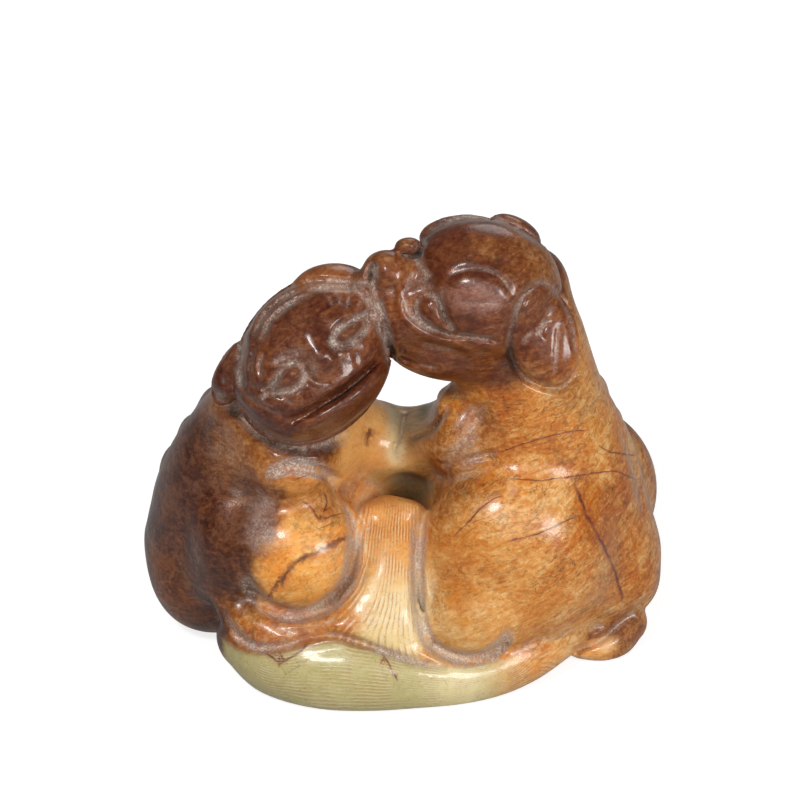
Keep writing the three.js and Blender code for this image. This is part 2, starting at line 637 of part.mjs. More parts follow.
// Joins short edges first where the form changes least, until few enough triangles are left
function thin({ points, faces }, most) {
  const quadrics = points.map(() => new Float64Array(10));
  const around = points.map(() => new Set());
  const alive = faces.map(() => true);
  const normalOf = (p, q, r) => {
    const e = [q[0] - p[0], q[1] - p[1], q[2] - p[2]];
    const f = [r[0] - p[0], r[1] - p[1], r[2] - p[2]];
    return [e[1] * f[2] - e[2] * f[1], e[2] * f[0] - e[0] * f[2], e[0] * f[1] - e[1] * f[0]];
  };
  faces.forEach((face, f) => {
    const [p, q, r] = face.map((v) => points[v]);
    const n = normalOf(p, q, r);
    const size = Math.hypot(...n);
    face.forEach((v) => around[v].add(f));
    if (size < 1e-12) return;
    const [a, b, c] = n.map((x) => x / size);
    const d = -(a * p[0] + b * p[1] + c * p[2]);
    const terms = [a * a, a * b, a * c, a * d, b * b, b * c, b * d, c * c, c * d, d * d];
    face.forEach((v) => terms.forEach((t, i) => (quadrics[v][i] += t * size)));
  });
  const error = (q, [x, y, z]) =>
    q[0] * x * x + 2 * q[1] * x * y + 2 * q[2] * x * z + 2 * q[3] * x + q[4] * y * y +
    2 * q[5] * y * z + 2 * q[6] * y + q[7] * z * z + 2 * q[8] * z + q[9];
  const best = (a, b) => {
    const q = quadrics[a].map((x, i) => x + quadrics[b][i]);
    const det =
      q[0] * (q[4] * q[7] - q[5] * q[5]) - q[1] * (q[1] * q[7] - q[5] * q[2]) + q[2] * (q[1] * q[5] - q[4] * q[2]);
    const middle = points[a].map((c, i) => (c + points[b][i]) / 2);
    const options = [middle, points[a], points[b]];
    const scale = (q[0] + q[4] + q[7]) / 3;
    if (Math.abs(det) > 1e-5 * scale ** 3) {
      const [r0, r1, r2] = [-q[3], -q[6], -q[8]];
      const x = (r0 * (q[4] * q[7] - q[5] * q[5]) - q[1] * (r1 * q[7] - q[5] * r2) + q[2] * (r1 * q[5] - q[4] * r2)) / det;
      const y = (q[0] * (r1 * q[7] - q[5] * r2) - r0 * (q[1] * q[7] - q[5] * q[2]) + q[2] * (q[1] * r2 - r1 * q[2])) / det;
      const z = (q[0] * (q[4] * r2 - r1 * q[5]) - q[1] * (q[1] * r2 - r1 * q[2]) + r0 * (q[1] * q[5] - q[4] * q[2])) / det;
      if (Math.hypot(x - middle[0], y - middle[1], z - middle[2]) < 2 * STEP) options.unshift([x, y, z]);
    }
    let chosen = options[0];
    let cost = Infinity;
    for (const p of options) {
      const e = error(q, p);
      if (e < cost) [chosen, cost] = [p, e];
    }
    return { cost: Math.max(cost, 0), place: chosen };
  };
  const stamps = new Uint32Array(points.length);
  const heap = [];
  const push = (entry) => {
    let i = heap.push(entry) - 1;
    while (i > 0) {
      const up = (i - 1) >> 1;
      if (heap[up].cost <= heap[i].cost) break;
      [heap[up], heap[i]] = [heap[i], heap[up]];
      i = up;
    }
  };
  const pop = () => {
    const top = heap[0];
    const end = heap.pop();
    if (heap.length) {
      heap[0] = end;
      let i = 0;
      for (;;) {
        const l = 2 * i + 1;
        if (l >= heap.length) break;
        const s = l + 1 < heap.length && heap[l + 1].cost < heap[l].cost ? l + 1 : l;
        if (heap[i].cost <= heap[s].cost) break;
        [heap[s], heap[i]] = [heap[i], heap[s]];
        i = s;
      }
    }
    return top;
  };
  const neighbours = (v) => {
    const out = new Set();
    for (const f of around[v]) for (const w of faces[f]) if (w !== v) out.add(w);
    return out;
  };
  const offer = (a, b) => {
    const { cost, place } = best(a, b);
    const length = Math.hypot(...points[a].map((c, i) => c - points[b][i]));
    push({ cost: cost + 1e-6 * length, place, a, b, mark: stamps[a] + stamps[b] });
  };
  points.forEach((_, v) => {
    for (const w of neighbours(v)) if (v < w) offer(v, w);
  });
  const turns = (v, other, place) => {
    for (const f of around[v]) {
      const face = faces[f];
      if (face.includes(other)) continue;
      const old = normalOf(...face.map((w) => points[w]));
      const now = normalOf(...face.map((w) => (w === v ? place : points[w])));
      const dot = old[0] * now[0] + old[1] * now[1] + old[2] * now[2];
      const [before, after] = [Math.hypot(...old), Math.hypot(...now)];
      if (after < 1e-4 || (before > 1e-4 && dot < 0.3 * before * after)) return true;
    }
    return false;
  };
  let left = faces.length;
  while (left > most && heap.length) {
    const { a, b, place, mark } = pop();
    if (!around[a].size || !around[b].size || stamps[a] + stamps[b] !== mark) continue;
    const [na, nb] = [neighbours(a), neighbours(b)];
    if (!na.has(b) || [...na].filter((w) => nb.has(w)).length !== 2) continue;
    if (turns(a, b, place) || turns(b, a, place)) continue;
    for (const f of [...around[b]]) {
      if (faces[f].includes(a)) {
        faces[f].forEach((w) => around[w].delete(f));
        alive[f] = false;
        left--;
      } else {
        faces[f] = faces[f].map((w) => (w === b ? a : w));
        around[a].add(f);
      }
    }
    around[b].clear();
    points[a] = place;
    quadrics[b].forEach((x, i) => (quadrics[a][i] += x));
    stamps[a] += 1;
    for (const w of neighbours(a)) offer(a, w);
  }
  const kept = faces.filter((_, f) => alive[f]);
  return { points, faces: kept };
}

// Geometry of the thinned skin, centred across and front to back
function geometryOf({ points, faces }) {
  const order = new Map();
  const position = [];
  const triangles = [];
  for (const face of faces)
    for (const v of face) {
      if (!order.has(v)) {
        order.set(v, order.size);
        position.push(...points[v]);
      }
      triangles.push(order.get(v));
    }
  const geometry = new THREE.BufferGeometry();
  geometry.setAttribute("position", new THREE.Float32BufferAttribute(position, 3));
  geometry.setIndex(triangles);
  geometry.computeBoundingBox();
  const box = geometry.boundingBox;
  geometry.translate(-(box.min.x + box.max.x) / 2, -(box.min.y + box.max.y) / 2, -box.min.z);
  geometry.computeVertexNormals();
  return geometry;
}

leftLion();
rightLion();
middle();
tails();
heads();
openings();
flattenUnderside();
const skin = frontSkin();
carveBodies(skin);
carveLeftFace(skin);
carveRightFace(skin);
flattenUnderside();
fillHollows();

const jade = new THREE.MeshStandardMaterial({ color: 0xa8642c, roughness: 0.35 });
const lions = new THREE.Mesh(geometryOf(thin(findSkin(), MOST_TRIANGLES)), jade);
lions.name = "lion_pair";

const carving = new THREE.Group();
carving.add(lions);

export default carving;
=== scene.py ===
"""Two lions carved as one piece of jade: the carved skin, its stone colour and polish, and the stage.

Millimetres are used while the skin is worked out, in the front layout: X to the right, Y away from
the front, Z up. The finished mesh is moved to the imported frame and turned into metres.
"""

import math

import bpy
import numpy as np
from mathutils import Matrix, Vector


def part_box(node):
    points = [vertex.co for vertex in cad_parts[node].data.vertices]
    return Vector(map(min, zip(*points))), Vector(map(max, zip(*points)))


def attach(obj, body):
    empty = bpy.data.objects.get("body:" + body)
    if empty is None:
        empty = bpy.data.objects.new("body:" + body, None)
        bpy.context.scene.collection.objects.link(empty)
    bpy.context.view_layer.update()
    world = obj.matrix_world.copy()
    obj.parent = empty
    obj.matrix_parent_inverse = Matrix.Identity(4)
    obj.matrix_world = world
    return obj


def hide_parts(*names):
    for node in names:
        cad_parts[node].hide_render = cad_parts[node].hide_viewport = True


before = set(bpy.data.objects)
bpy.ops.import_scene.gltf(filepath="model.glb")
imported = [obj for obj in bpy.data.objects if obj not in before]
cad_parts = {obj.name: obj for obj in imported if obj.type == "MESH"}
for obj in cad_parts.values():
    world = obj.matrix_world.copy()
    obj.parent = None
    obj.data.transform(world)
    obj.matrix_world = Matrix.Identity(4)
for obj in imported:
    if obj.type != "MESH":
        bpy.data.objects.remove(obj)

bl_info = {
    "name": "Jade lion pair",
    "version": (1, 0, 0),
    "blender": (4, 5, 0),
    "location": "3D View > Sidebar > Jade lions",
    "description": "Carves two jade lions round the packed solid and sets them on a pale stage",
    "category": "Object",
}

NODE = "lion_pair"
BODY = "root"
CAD_LOW, CAD_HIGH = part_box(NODE)

MM = 0.001
FRONT_TILT = 30  # degrees above level from which the front is laid out
FRONT_REACH = 450  # distance in mm from which the front is laid out
FRONT_HEIGHT = 32.4  # height in mm of the middle of the front layout
BLOCK_LOW = (-36.2, -24.2, -2.35)  # corners in mm of the block that holds the carving
BLOCK_HIGH = (36.5, 23.5, 61.5)
SENSOR = 36.0  # camera sensor in mm
PICTURE_PIXELS = 800  # width of the picture
LIONS_PIXELS = 525  # width of the lions in it
LIONS_WIDTH = 64  # what that is at the middle of the layout, in mm
VIEW_WIDTH = PICTURE_PIXELS * LIONS_WIDTH / LIONS_PIXELS  # width in mm that the picture shows there

FAR = 6  # distance in mm that fills the grid before the first form
UNMET = 50  # distance in mm from a limb before its first span
LIMB_STEPS = 8  # points to each span of a limb's path
FOLD_STEPS = 5  # points to each span of a fold's path
VEIN_STEPS = 6  # points to each span of a vein's path
SKIN_REACH = 2.2  # mm on both sides of the skin that the folds work on
FOLD_SLOPE = -0.05  # folds leave out skin that turns away from the front by more than this
END_POWER = 0.6  # below one, so a fold's ends fall off late
DUST_SPREAD = 0.15  # mm by which dust lies wider than its fold
DUSTY_DEPTH = 0.5  # mm of depth from which a fold holds all its dust
DIP_BOX = 0.9  # half width in mm of the box that a dip is judged over
FULL_DIP = 0.12  # mm below the box's mean that counts as a full dip
VEIN_END = 0.12  # share of a vein over which its end fades
NO_VEIN = 9.0  # half widths from a vein where there is none
WIPED_SHARE = 0.65  # share of the dust that is wiped off
HANGING_HAIRS = 15  # hair lines across the hanging tail
LYING_HAIRS = 19  # hair lines across the tail on the base
LEAST_POINTS = 1000  # a skin with fewer points isn't a carving
TINY = 1e-6

TILT = math.radians(FRONT_TILT)
ACROSS = np.array([1.0, 0, 0])
UPWARD = np.array([0, math.sin(TILT), math.cos(TILT)])
TOWARDS = np.array([0, -math.cos(TILT), math.sin(TILT)])
LAYOUT_MIDDLE = np.array([0, 0, FRONT_HEIGHT])


def at(u, v, y):
    """The point at depth y on the ray from the front viewpoint through (u, v) of the layout plane."""
    viewpoint = LAYOUT_MIDDLE + TOWARDS * FRONT_REACH
    ray = -TOWARDS + (u * ACROSS + v * UPWARD) / FRONT_REACH
    return viewpoint + ray * ((y - viewpoint[1]) / ray[1])


def seen(points):
    """(u, v, depth) of points: their offsets along ACROSS, UPWARD and TOWARDS, the first two scaled by
    reach / (reach - depth) as the front viewpoint sees them."""
    away = points - LAYOUT_MIDDLE
    depth = away @ TOWARDS
    scale = FRONT_REACH / (FRONT_REACH - depth)
    return (away @ ACROSS) * scale, (away @ UPWARD) * scale, depth


def turned(degrees):
    """Three directions of a form turned in the layout plane: along, across and towards the viewer."""
    a = math.radians(degrees)
    along = math.cos(a) * ACROSS + math.sin(a) * UPWARD
    over = -math.sin(a) * ACROSS + math.cos(a) * UPWARD
    return np.array([along, over, TOWARDS])


def curve(points, per):
    """Points of the Catmull-Rom cubic through the given ones, per of them to a span."""
    points = np.array(points, float)
    if len(points) < 3:
        return points
    p = np.vstack([2 * points[0] - points[1], points, 2 * points[-1] - points[-2]])
    a, b, c, d = (p[i : len(p) - 3 + i, None] for i in range(4))
    t = (np.arange(per) / per)[None, :, None]
    square = 2 * a - 5 * b + 4 * c - d
    cube = -a + 3 * b - 3 * c + d
    path = 0.5 * (2 * b + (c - a) * t + square * t**2 + cube * t**3)
    return np.vstack([path.reshape(-1, points.shape[1]), points[-1:]])


def path_gap(u, v, path):
    """Distance from (u, v) to a path, where it falls along the path from 0 to 1, and on which side.
    The nearest point of each straight span is its start plus t times the span, t held to 0..1."""
    lengths = np.linalg.norm(np.diff(path, axis=0), axis=1)
    before = np.concatenate([[0], np.cumsum(lengths)])
    best = np.full(len(u), 1e9, np.float32)
    where = np.zeros(len(u), np.float32)
    side = np.ones(len(u), np.float32)
    for i in range(len(path) - 1):
        span = path[i + 1] - path[i]
        du, dv = u - path[i][0], v - path[i][1]
        t = np.clip((du * span[0] + dv * span[1]) / max(span @ span, 1e-9), 0, 1)
        gap = (du - t * span[0]) ** 2 + (dv - t * span[1]) ** 2
        nearer = gap < best
        best = np.where(nearer, gap, best)
        where = np.where(nearer, before[i] + t * lengths[i], where)
        side = np.where(nearer, np.sign(span[0] * dv - span[1] * du), side)
    return np.sqrt(best), where / before[-1], side


class Block:
    """Distances to the skin on a grid, below zero inside, built up by forms and cut by folds."""

    def __init__(self, step):
        self.step = step
        self.low = np.array(BLOCK_LOW)
        self.count = [math.ceil((h - l) / step) + 1 for l, h in zip(BLOCK_LOW, BLOCK_HIGH)]
        self.axes = [
            (l + step * np.arange(n)).astype(np.float32) for l, n in zip(BLOCK_LOW, self.count)
        ]
        self.field = np.full(self.count, FAR, np.float32)

    def window(self, low, high):
        """The part of the grid between two corners, and its X, Y and Z."""
        cut = []
        for a in range(3):
            first = max(0, math.floor((low[a] - self.low[a]) / self.step))
            last = min(self.count[a], math.ceil((high[a] - self.low[a]) / self.step) + 1)
            cut.append(slice(first, max(last, first)))
        x, y, z = (self.axes[a][cut[a]] for a in range(3))
        return tuple(cut), x[:, None, None], y[None, :, None], z[None, None, :]

    def join(self, part, distance, soft, cut=False):
        """Soft union min(a, b) - h*h*soft/4 with h = max(soft - |a - b|, 0) / soft; a cut is the same
        with a maximum, the other distance and a plus."""
        a = self.field[part]
        b = -distance if cut else distance
        h = np.maximum(soft - np.abs(a - b), 0) / soft
        if cut:
            self.field[part] = np.maximum(a, b) + h * h * soft / 4
        else:
            self.field[part] = np.minimum(a, b) - h * h * soft / 4

    def lump(self, centre, radii, soft, directions=None, cut=False):
        """An ellipsoid: with q the place over the radii, the distance is |q| (|q| - 1) / |q / radii|.
        A cut takes it away."""
        centre, radii = np.array(centre, float), np.array(radii, float)
        d = np.eye(3) if directions is None else directions
        reach = np.sqrt(((d * radii[:, None]) ** 2).sum(0)) + soft + 2
        part, x, y, z = self.window(centre - reach, centre + reach)
        x, y, z = x - np.float32(centre[0]), y - np.float32(centre[1]), z - np.float32(centre[2])
        d = d.astype(np.float32)
        q = [(d[k, 0] * x + d[k, 1] * y + d[k, 2] * z) / np.float32(radii[k]) for k in range(3)]
        near = np.sqrt(q[0] ** 2 + q[1] ** 2 + q[2] ** 2)
        slope = np.sqrt(sum((q[k] / np.float32(radii[k])) ** 2 for k in range(3))) + TINY
        self.join(part, near * (near - 1) / slope, soft, cut)

    def front_lump(self, u, v, y, radii, degrees, soft):
        """A lump placed and turned in the layout."""
        self.lump(at(u, v, y), radii, soft, turned(degrees))

    def limb(self, points, soft, cut=False):
        """A round limb: over the spans of its smooth path, the least of the distance to the span less
        the radius there."""
        path = curve(points, LIMB_STEPS)
        most = path[:, 3].max() + soft + 2
        part, x, y, z = self.window(path[:, :3].min(0) - most, path[:, :3].max(0) + most)
        best = np.full(np.broadcast_shapes(x.shape, y.shape, z.shape), UNMET, np.float32)
        for a, b in zip(path[:-1].astype(np.float32), path[1:].astype(np.float32)):
            d = b[:3] - a[:3]
            square = max(d @ d, np.float32(1e-9))
            px, py, pz = x - a[0], y - a[1], z - a[2]
            t = np.clip((px * d[0] + py * d[1] + pz * d[2]) / square, 0, 1)
            gap = np.sqrt((px - t * d[0]) ** 2 + (py - t * d[1]) ** 2 + (pz - t * d[2]) ** 2)
            best = np.minimum(best, gap - (a[3] + t * (b[3] - a[3])))
        self.join(part, best, soft, cut)

    def front_limb(self, points, soft, cut=False):
        """A limb whose points are given in the layout."""
        self.limb([(*at(u, v, y), r) for u, v, y, r in points], soft, cut)

    def strap(self, points, soft):
        """A flattened limb: each span is an ellipsoid rule with the half width across, the half
        thickness the way it faces, and the half width along the span past its ends."""
        path = curve(points, LIMB_STEPS)
        most = path[:, 3].max() + soft + 2
        part, x, y, z = self.window(path[:, :3].min(0) - most, path[:, :3].max(0) + most)
        best = np.full(np.broadcast_shapes(x.shape, y.shape, z.shape), UNMET, np.float32)
        for a, b in zip(path[:-1], path[1:]):
            d = b[:3] - a[:3]
            along = d / np.linalg.norm(d)
            facing = (a[5:8] + b[5:8]) / 2
            facing = facing - along * (facing @ along)
            facing /= np.linalg.norm(facing)
            width = np.cross(along, facing).astype(np.float32)
            along, facing, d = (m.astype(np.float32) for m in (along, facing, d))
            px, py, pz = (m - np.float32(a[k]) for k, m in enumerate((x, y, z)))
            t = np.clip((px * d[0] + py * d[1] + pz * d[2]) / (d @ d), 0, 1)
            wide = np.float32(a[3]) + t * np.float32(b[3] - a[3])
            thick = np.float32(a[4]) + t * np.float32(b[4] - a[4])
            px, py, pz = px - t * d[0], py - t * d[1], pz - t * d[2]
            near, slope = 0, 0
            for m, size in ((width, wide), (facing, thick), (along, wide)):
                q = (px * m[0] + py * m[1] + pz * m[2]) / size
                near = near + q * q
                slope = slope + (q / size) ** 2
            near = np.sqrt(near)
            best = np.minimum(best, near * (near - 1) / (np.sqrt(slope) + TINY))
        self.join(part, best, soft)

    def flatten(self, soft):
        """Cuts the underside flat at Z = 0, with the same soft maximum against -Z."""
        z = self.axes[2][None, None, :]
        h = np.maximum(soft - np.abs(self.field + z), 0) / soft
        self.field = np.maximum(self.field, -z) + h * h * soft / 4

    def open_skin(self, reach):
        """Takes out the grid points near the skin that look towards the front, where the gradient of
        the distance has no part away from the viewer."""
        self.near = np.nonzero(np.abs(self.field) < reach)
        slope = sum(
            np.gradient(self.field, self.step, axis=a)[self.near] * TOWARDS[a] for a in (1, 2)
        )
        keep = slope > FOLD_SLOPE
        self.near = tuple(n[keep] for n in self.near)
        points = np.stack([self.axes[a][self.near[a]] for a in range(3)], 1)
        self.u, self.v, self.depth = (m.astype(np.float32) for m in seen(points))
        self.value = self.field[self.near]
        self.trace = np.zeros(len(self.value), np.float32)

    def fold(self, points, width, depth, nearer, fade=0.15, flat=0.0, dust=1.0):
        """Adds depth * ends * exp(-(beyond / width)^2) to the distance, where beyond is the gap to the
        path past the flat bottom: a fold, or a ridge where depth is below zero. Ends fall to nothing
        over the part of the path that fade gives. Skin farther back than nearer is left alone, and
        dust says how much of it the fold holds."""
        path = curve(points, FOLD_STEPS)
        margin = 3 * width + flat
        low, high = path.min(0) - margin, path.max(0) + margin
        inside = (self.u > low[0]) & (self.u < high[0]) & (self.v > low[1]) & (self.v < high[1])
        chosen = np.nonzero(inside & (self.depth > nearer))[0]
        if not len(chosen):
            return
        gap, where, _ = path_gap(self.u[chosen], self.v[chosen], path)
        ends = np.clip(np.minimum(where, 1 - where) / fade, 0, 1) ** END_POWER if fade else 1.0
        edge = np.clip(self.depth[chosen] - nearer, 0, 1)
        beyond = np.maximum(gap - flat, 0)
        self.value[chosen] += depth * (ends * edge * np.exp(-((beyond / width) ** 2)))
        if depth > 0 and dust:
            spread = ends * edge * np.exp(-((beyond / (width + DUST_SPREAD)) ** 2))
            held = spread * min(1, depth / DUSTY_DEPTH) * dust
            self.trace[chosen] = np.maximum(self.trace[chosen], held)

    def close_skin(self):
        """Puts the folded distances back in the grid, and spreads the dust over a grid of its own."""
        self.field[self.near] = self.value
        self.dust = np.zeros(self.count, np.float32)
        self.dust[self.near] = self.trace

    def sample(self, grid, points):
        """Straight-line mixing of the eight grid values round each point."""
        place = (points - self.low) / self.step
        base = np.clip(np.floor(place).astype(int), 0, np.array(self.count) - 2)
        part = (place - base).astype(np.float32)
        total = 0
        for corner in range(8):
            pick = np.array([(corner >> a) & 1 for a in range(3)])
            share = np.prod(np.where(pick, part, 1 - part), 1)
            i, j, k = (base + pick).T
            total = total + share * grid[i, j, k]
        return total


def left_lion(block, form):
    limb = [(-20.9, 3, 10.4, 11.2), (-19.6, 1.8, 20, 9.8), (-16.2, 0.2, 29, 8), (-13.3, -2, 37, 7.3)]
    block.limb(limb, form.torso_round / MM)
    block.lump((-20.8, 10, 12.5), (10.2, 8.5, 10.5), form.torso_round / MM)  # far haunch
    block.front_lump(-12.8, -17.8, -8.2, (7.6, 8.8, 8), 90, form.haunch_round / MM)  # near haunch
    block.lump((-24.2, -0.6, 7), (6.2, 6.2, 6.4), 2.5)  # hock
    for knuckle in ((-20, 5.5, 32.2), (-22.6, 6.5, 28.2), (-25.4, 7.5, 23.6), (-27.6, 8, 18.6)):
        block.lump(knuckle, (2, 2.6, 2), 1.8)


def right_lion(block, form):
    limb = [(20, 3, 11, 11.5), (19, 1.5, 21, 10.6), (16.1, 0.8, 31, 9.2), (14.3, 0.6, 40, 8.2)]
    block.limb(limb, form.torso_round / MM)
    block.lump((21.6, 9.5, 13.8), (10.9, 8.6, 11.8), 1.4)  # far haunch
    block.lump((21.8, 0, 9.4), (10.6, 9, 10.2), form.torso_round / MM)  # rump
    block.lump((14, -7.6, 15), (11.8, 8.6, 12.6), form.torso_round / MM)  # near haunch
    for knuckle in ((19.2, 5, 39.5), (21.2, 6, 34.8), (23.6, 7, 30), (25.6, 7.6, 25.2)):
        block.lump(knuckle, (2, 2.6, 2), 1.8)
    block.front_lump(9.4, -26, -12.9, (6.4, 5.4, 5), 0, 2.4)  # lower lobe of the near haunch
    block.front_lump(27.8, -22, -1, (3.5, 3.6, 6), 0, 1.5)  # edge of the rump over the near foot
    foot = [(22.4, -29.3, -7.5, 2.4), (25.1, -29.1, -6.3, 3.1), (27.4, -27, -4, 2.8)]
    block.front_limb(foot, 0.6)


def middle(block, form):
    # the stone left between the lions
    block.lump((0, 2, 5), (16, 15, 6.5), form.torso_round / MM)
    block.lump((-9, -9.5, 6.5), (9, 6, 6), 2)
    block.lump((6, -9.5, 6.5), (9, 6, 6), 2)
    block.lump((-9, 3, 13), (8, 9, 12), form.torso_round / MM)
    block.lump((10.5, 3, 16), (8, 9, 12), form.torso_round / MM)
    block.lump((1, 10, 12), (8, 7, 9), form.torso_round / MM)
    block.lump((1.5, 8, 18.5), (6.5, 4.5, 5), 2.5)
    block.lump((-8.4, -3.4, 34.8), (3.2, 2.8, 2.6), 1.5)
    block.lump((16, 12, 4), (7, 4, 4), 2)
    block.lump((-0.4, -8, 11), (6.5, 5.5, 7.5), 2)
    # shoulders and chests round the well
    left_arm = [(-13.4, -6.7, -6, 6), (-7.9, -4.6, 1, 5), (-3.4, -4.1, 6, 4.3), (0.1, -4.3, 7.4, 3.9)]
    block.front_limb(left_arm, 2.5)
    block.front_limb([(9.1, -3.7, -1, 6.5), (5.9, -3.7, 3, 4.8), (2.9, -3.4, 7, 3.6)], 1.2)
    block.front_lump(0.4, -7.6, 5, (5.5, 4.6, 4.5), 0, 2)
    block.front_lump(-2.2, -5.4, 3, (5.2, 3.8, 4.2), -20, 2)
    block.front_lump(3.4, -5.7, 3, (4, 3.8, 4), 20, 1.5)
    # far forelegs crossing at the back
    block.limb([(-15, 8, 27, 5), (-7, 11.5, 22.5, 4.2), (2, 13.6, 18, 3.6), (5.5, 14, 15.6, 3.4)], 2)
    block.limb([(15, 8, 28, 5), (9, 12, 22, 4.2), (5, 14.2, 12, 3.4), (1.5, 15, 6, 3.2)], 1.6)
    # hind paws at the back
    block.limb([(-20, 13, 4, 3.4), (-11, 16, 3.2, 3.3), (-6, 16.4, 3, 3.1)], form.paw_round / MM)
    block.limb([(21, 13, 4, 3.4), (14, 16, 3.2, 3.3), (9, 16.8, 3, 3.1)], form.paw_round / MM)


# The hanging tail in the layout: u, v, y, half width, half thickness and the way it faces
HANGING_TAIL = (
    (-0.9, -14.4, -4.2, 3.5, 2.6, 0, -0.5, 1),
    (-1, -17.7, -8.4, 3.5, 2.8, 0, -0.9, 0.8),
    (-1.5, -22.6, -12.2, 4.3, 2.8, 0, -1, 0.6),
    (-2.4, -26.8, -14.6, 5.8, 3, 0, -1, 0.4),
    (-2.7, -31.1, -16, 8, 3, 0, -1, 0.3),
)
# The tail along the base: x, y, z, radius
BASE_TAIL = (
    (20, -8.5, 4.4, 3.2),
    (14.5, -12.4, 3.4, 3.8),
    (8, -15, 2.3, 4),
    (0, -15.7, 3.4, 5.1),
    (-8, -15.8, 3.7, 5.4),
    (-14.2, -13.6, 4.1, 5.3),
    (-17.8, -10.6, 5.2, 4.8),
)


def tails(block, form):
    soft = form.paw_round / MM
    block.front_lump(-0.9, -14.5, -5.2, (3.6, 2.1, 2.6), 0, soft)
    block.front_lump(1.2, -13.8, -5.2, (2, 1.5, 2.4), 0, 0.8)
    block.front_lump(-3.1, -14.2, -5.2, (1.9, 1.7, 2.4), 0, 0.8)
    block.strap([(*at(u, v, y), *rest) for u, v, y, *rest in HANGING_TAIL], soft)
    left_end = [
        (-1.8, -27.8, -15, 2.8),
        (-6.7, -27.8, -15.6, 2.7),
        (-12.2, -28.8, -15, 2.7),
        (-16.8, -27.8, -13.6, 2.6),
        (-20, -25.4, -11, 2.3),
        (-21.7, -21.9, -8.5, 1.6),
    ]
    block.front_limb(left_end, soft)
    block.front_lump(-22.4, -20.6, -6, (3.2, 4, 3.6), 0, 2)
    block.front_lump(-20.4, -17.6, -7.4, (4.4, 6.4, 4.6), 10, 2.6)
    block.front_limb([(2.4, -31, -15, 2.3), (7.3, -32.6, -14.5, 1.9), (12.8, -31.4, -12.5, 1.8)], 1)
    block.limb(BASE_TAIL, soft)
    block.front_limb(
        [(-9.8, -32.7, -17.2, 2.6), (-4.9, -32.2, -17.8, 2.8), (-1, -33.6, -17.6, 2.4)],
        1.2,
    )


def heads(block, form):
    ear = form.ear_round / MM
    block.front_lump(-3.9, 13.2, -6, (2.6, 2.6, 3), 54, 0.8)  # where the heads touch
    # left head
    block.front_lump(-10.6, 4.9, -8, (10.9, 8.8, 8.6), 54, 1.6)
    block.front_lump(-11.8, 6.5, -4, (9.2, 6.5, 7), 52, 0.8)  # roll of hair behind the crown
    block.front_lump(-8.3, 13.8, -4, (4.6, 2.8, 3.4), 4, ear)  # far ear
    block.front_lump(-20.2, 3.4, -6.5, (4.4, 2.2, 3.2), 62, ear)  # near ear
    # right head
    block.front_lump(10.1, 13.7, -3.5, (9.4, 8.4, 8.6), -12, 1.6)
    block.front_lump(16.6, 12.6, 3, (4.2, 6, 5), 0, 1.5)  # nape
    block.front_lump(2.2, 11.9, -4, (5.6, 7.2, 6), -80, 1.8)  # snout
    block.front_lump(6.7, 6.7, -3, (8.6, 4.4, 6), -5, 1.6)  # jaw
    block.front_lump(-1.4, 15.6, -5.5, (2.6, 3.1, 3.2), -100, 1)  # nose
    block.front_lump(1.1, 18.7, -4.5, (1.7, 1.1, 1.8), 0, 0.7)  # knob on the nose
    block.front_lump(7.6, 20, 2, (5.2, 2.6, 3.5), 4, 0.6)  # far brow
    block.front_lump(13.9, 20.2, 5, (3.6, 2.1, 3.5), -28, 0.6)  # far ear
    block.front_lump(17.4, 7.9, -8.6, (6.4, 4.2, 2), -75, ear)  # near ear


def openings(block):
    block.front_limb([(0.6, -11.3, -0.6, 2.3), (0.6, -14.1, -0.4, 2)], 1.2, cut=True)  # well
    block.limb([(1.5, -30, 36.5, 3.1), (1.4, 0, 30.9, 3.1), (1.4, 30, 26.6, 3.1)], 1.5, cut=True)


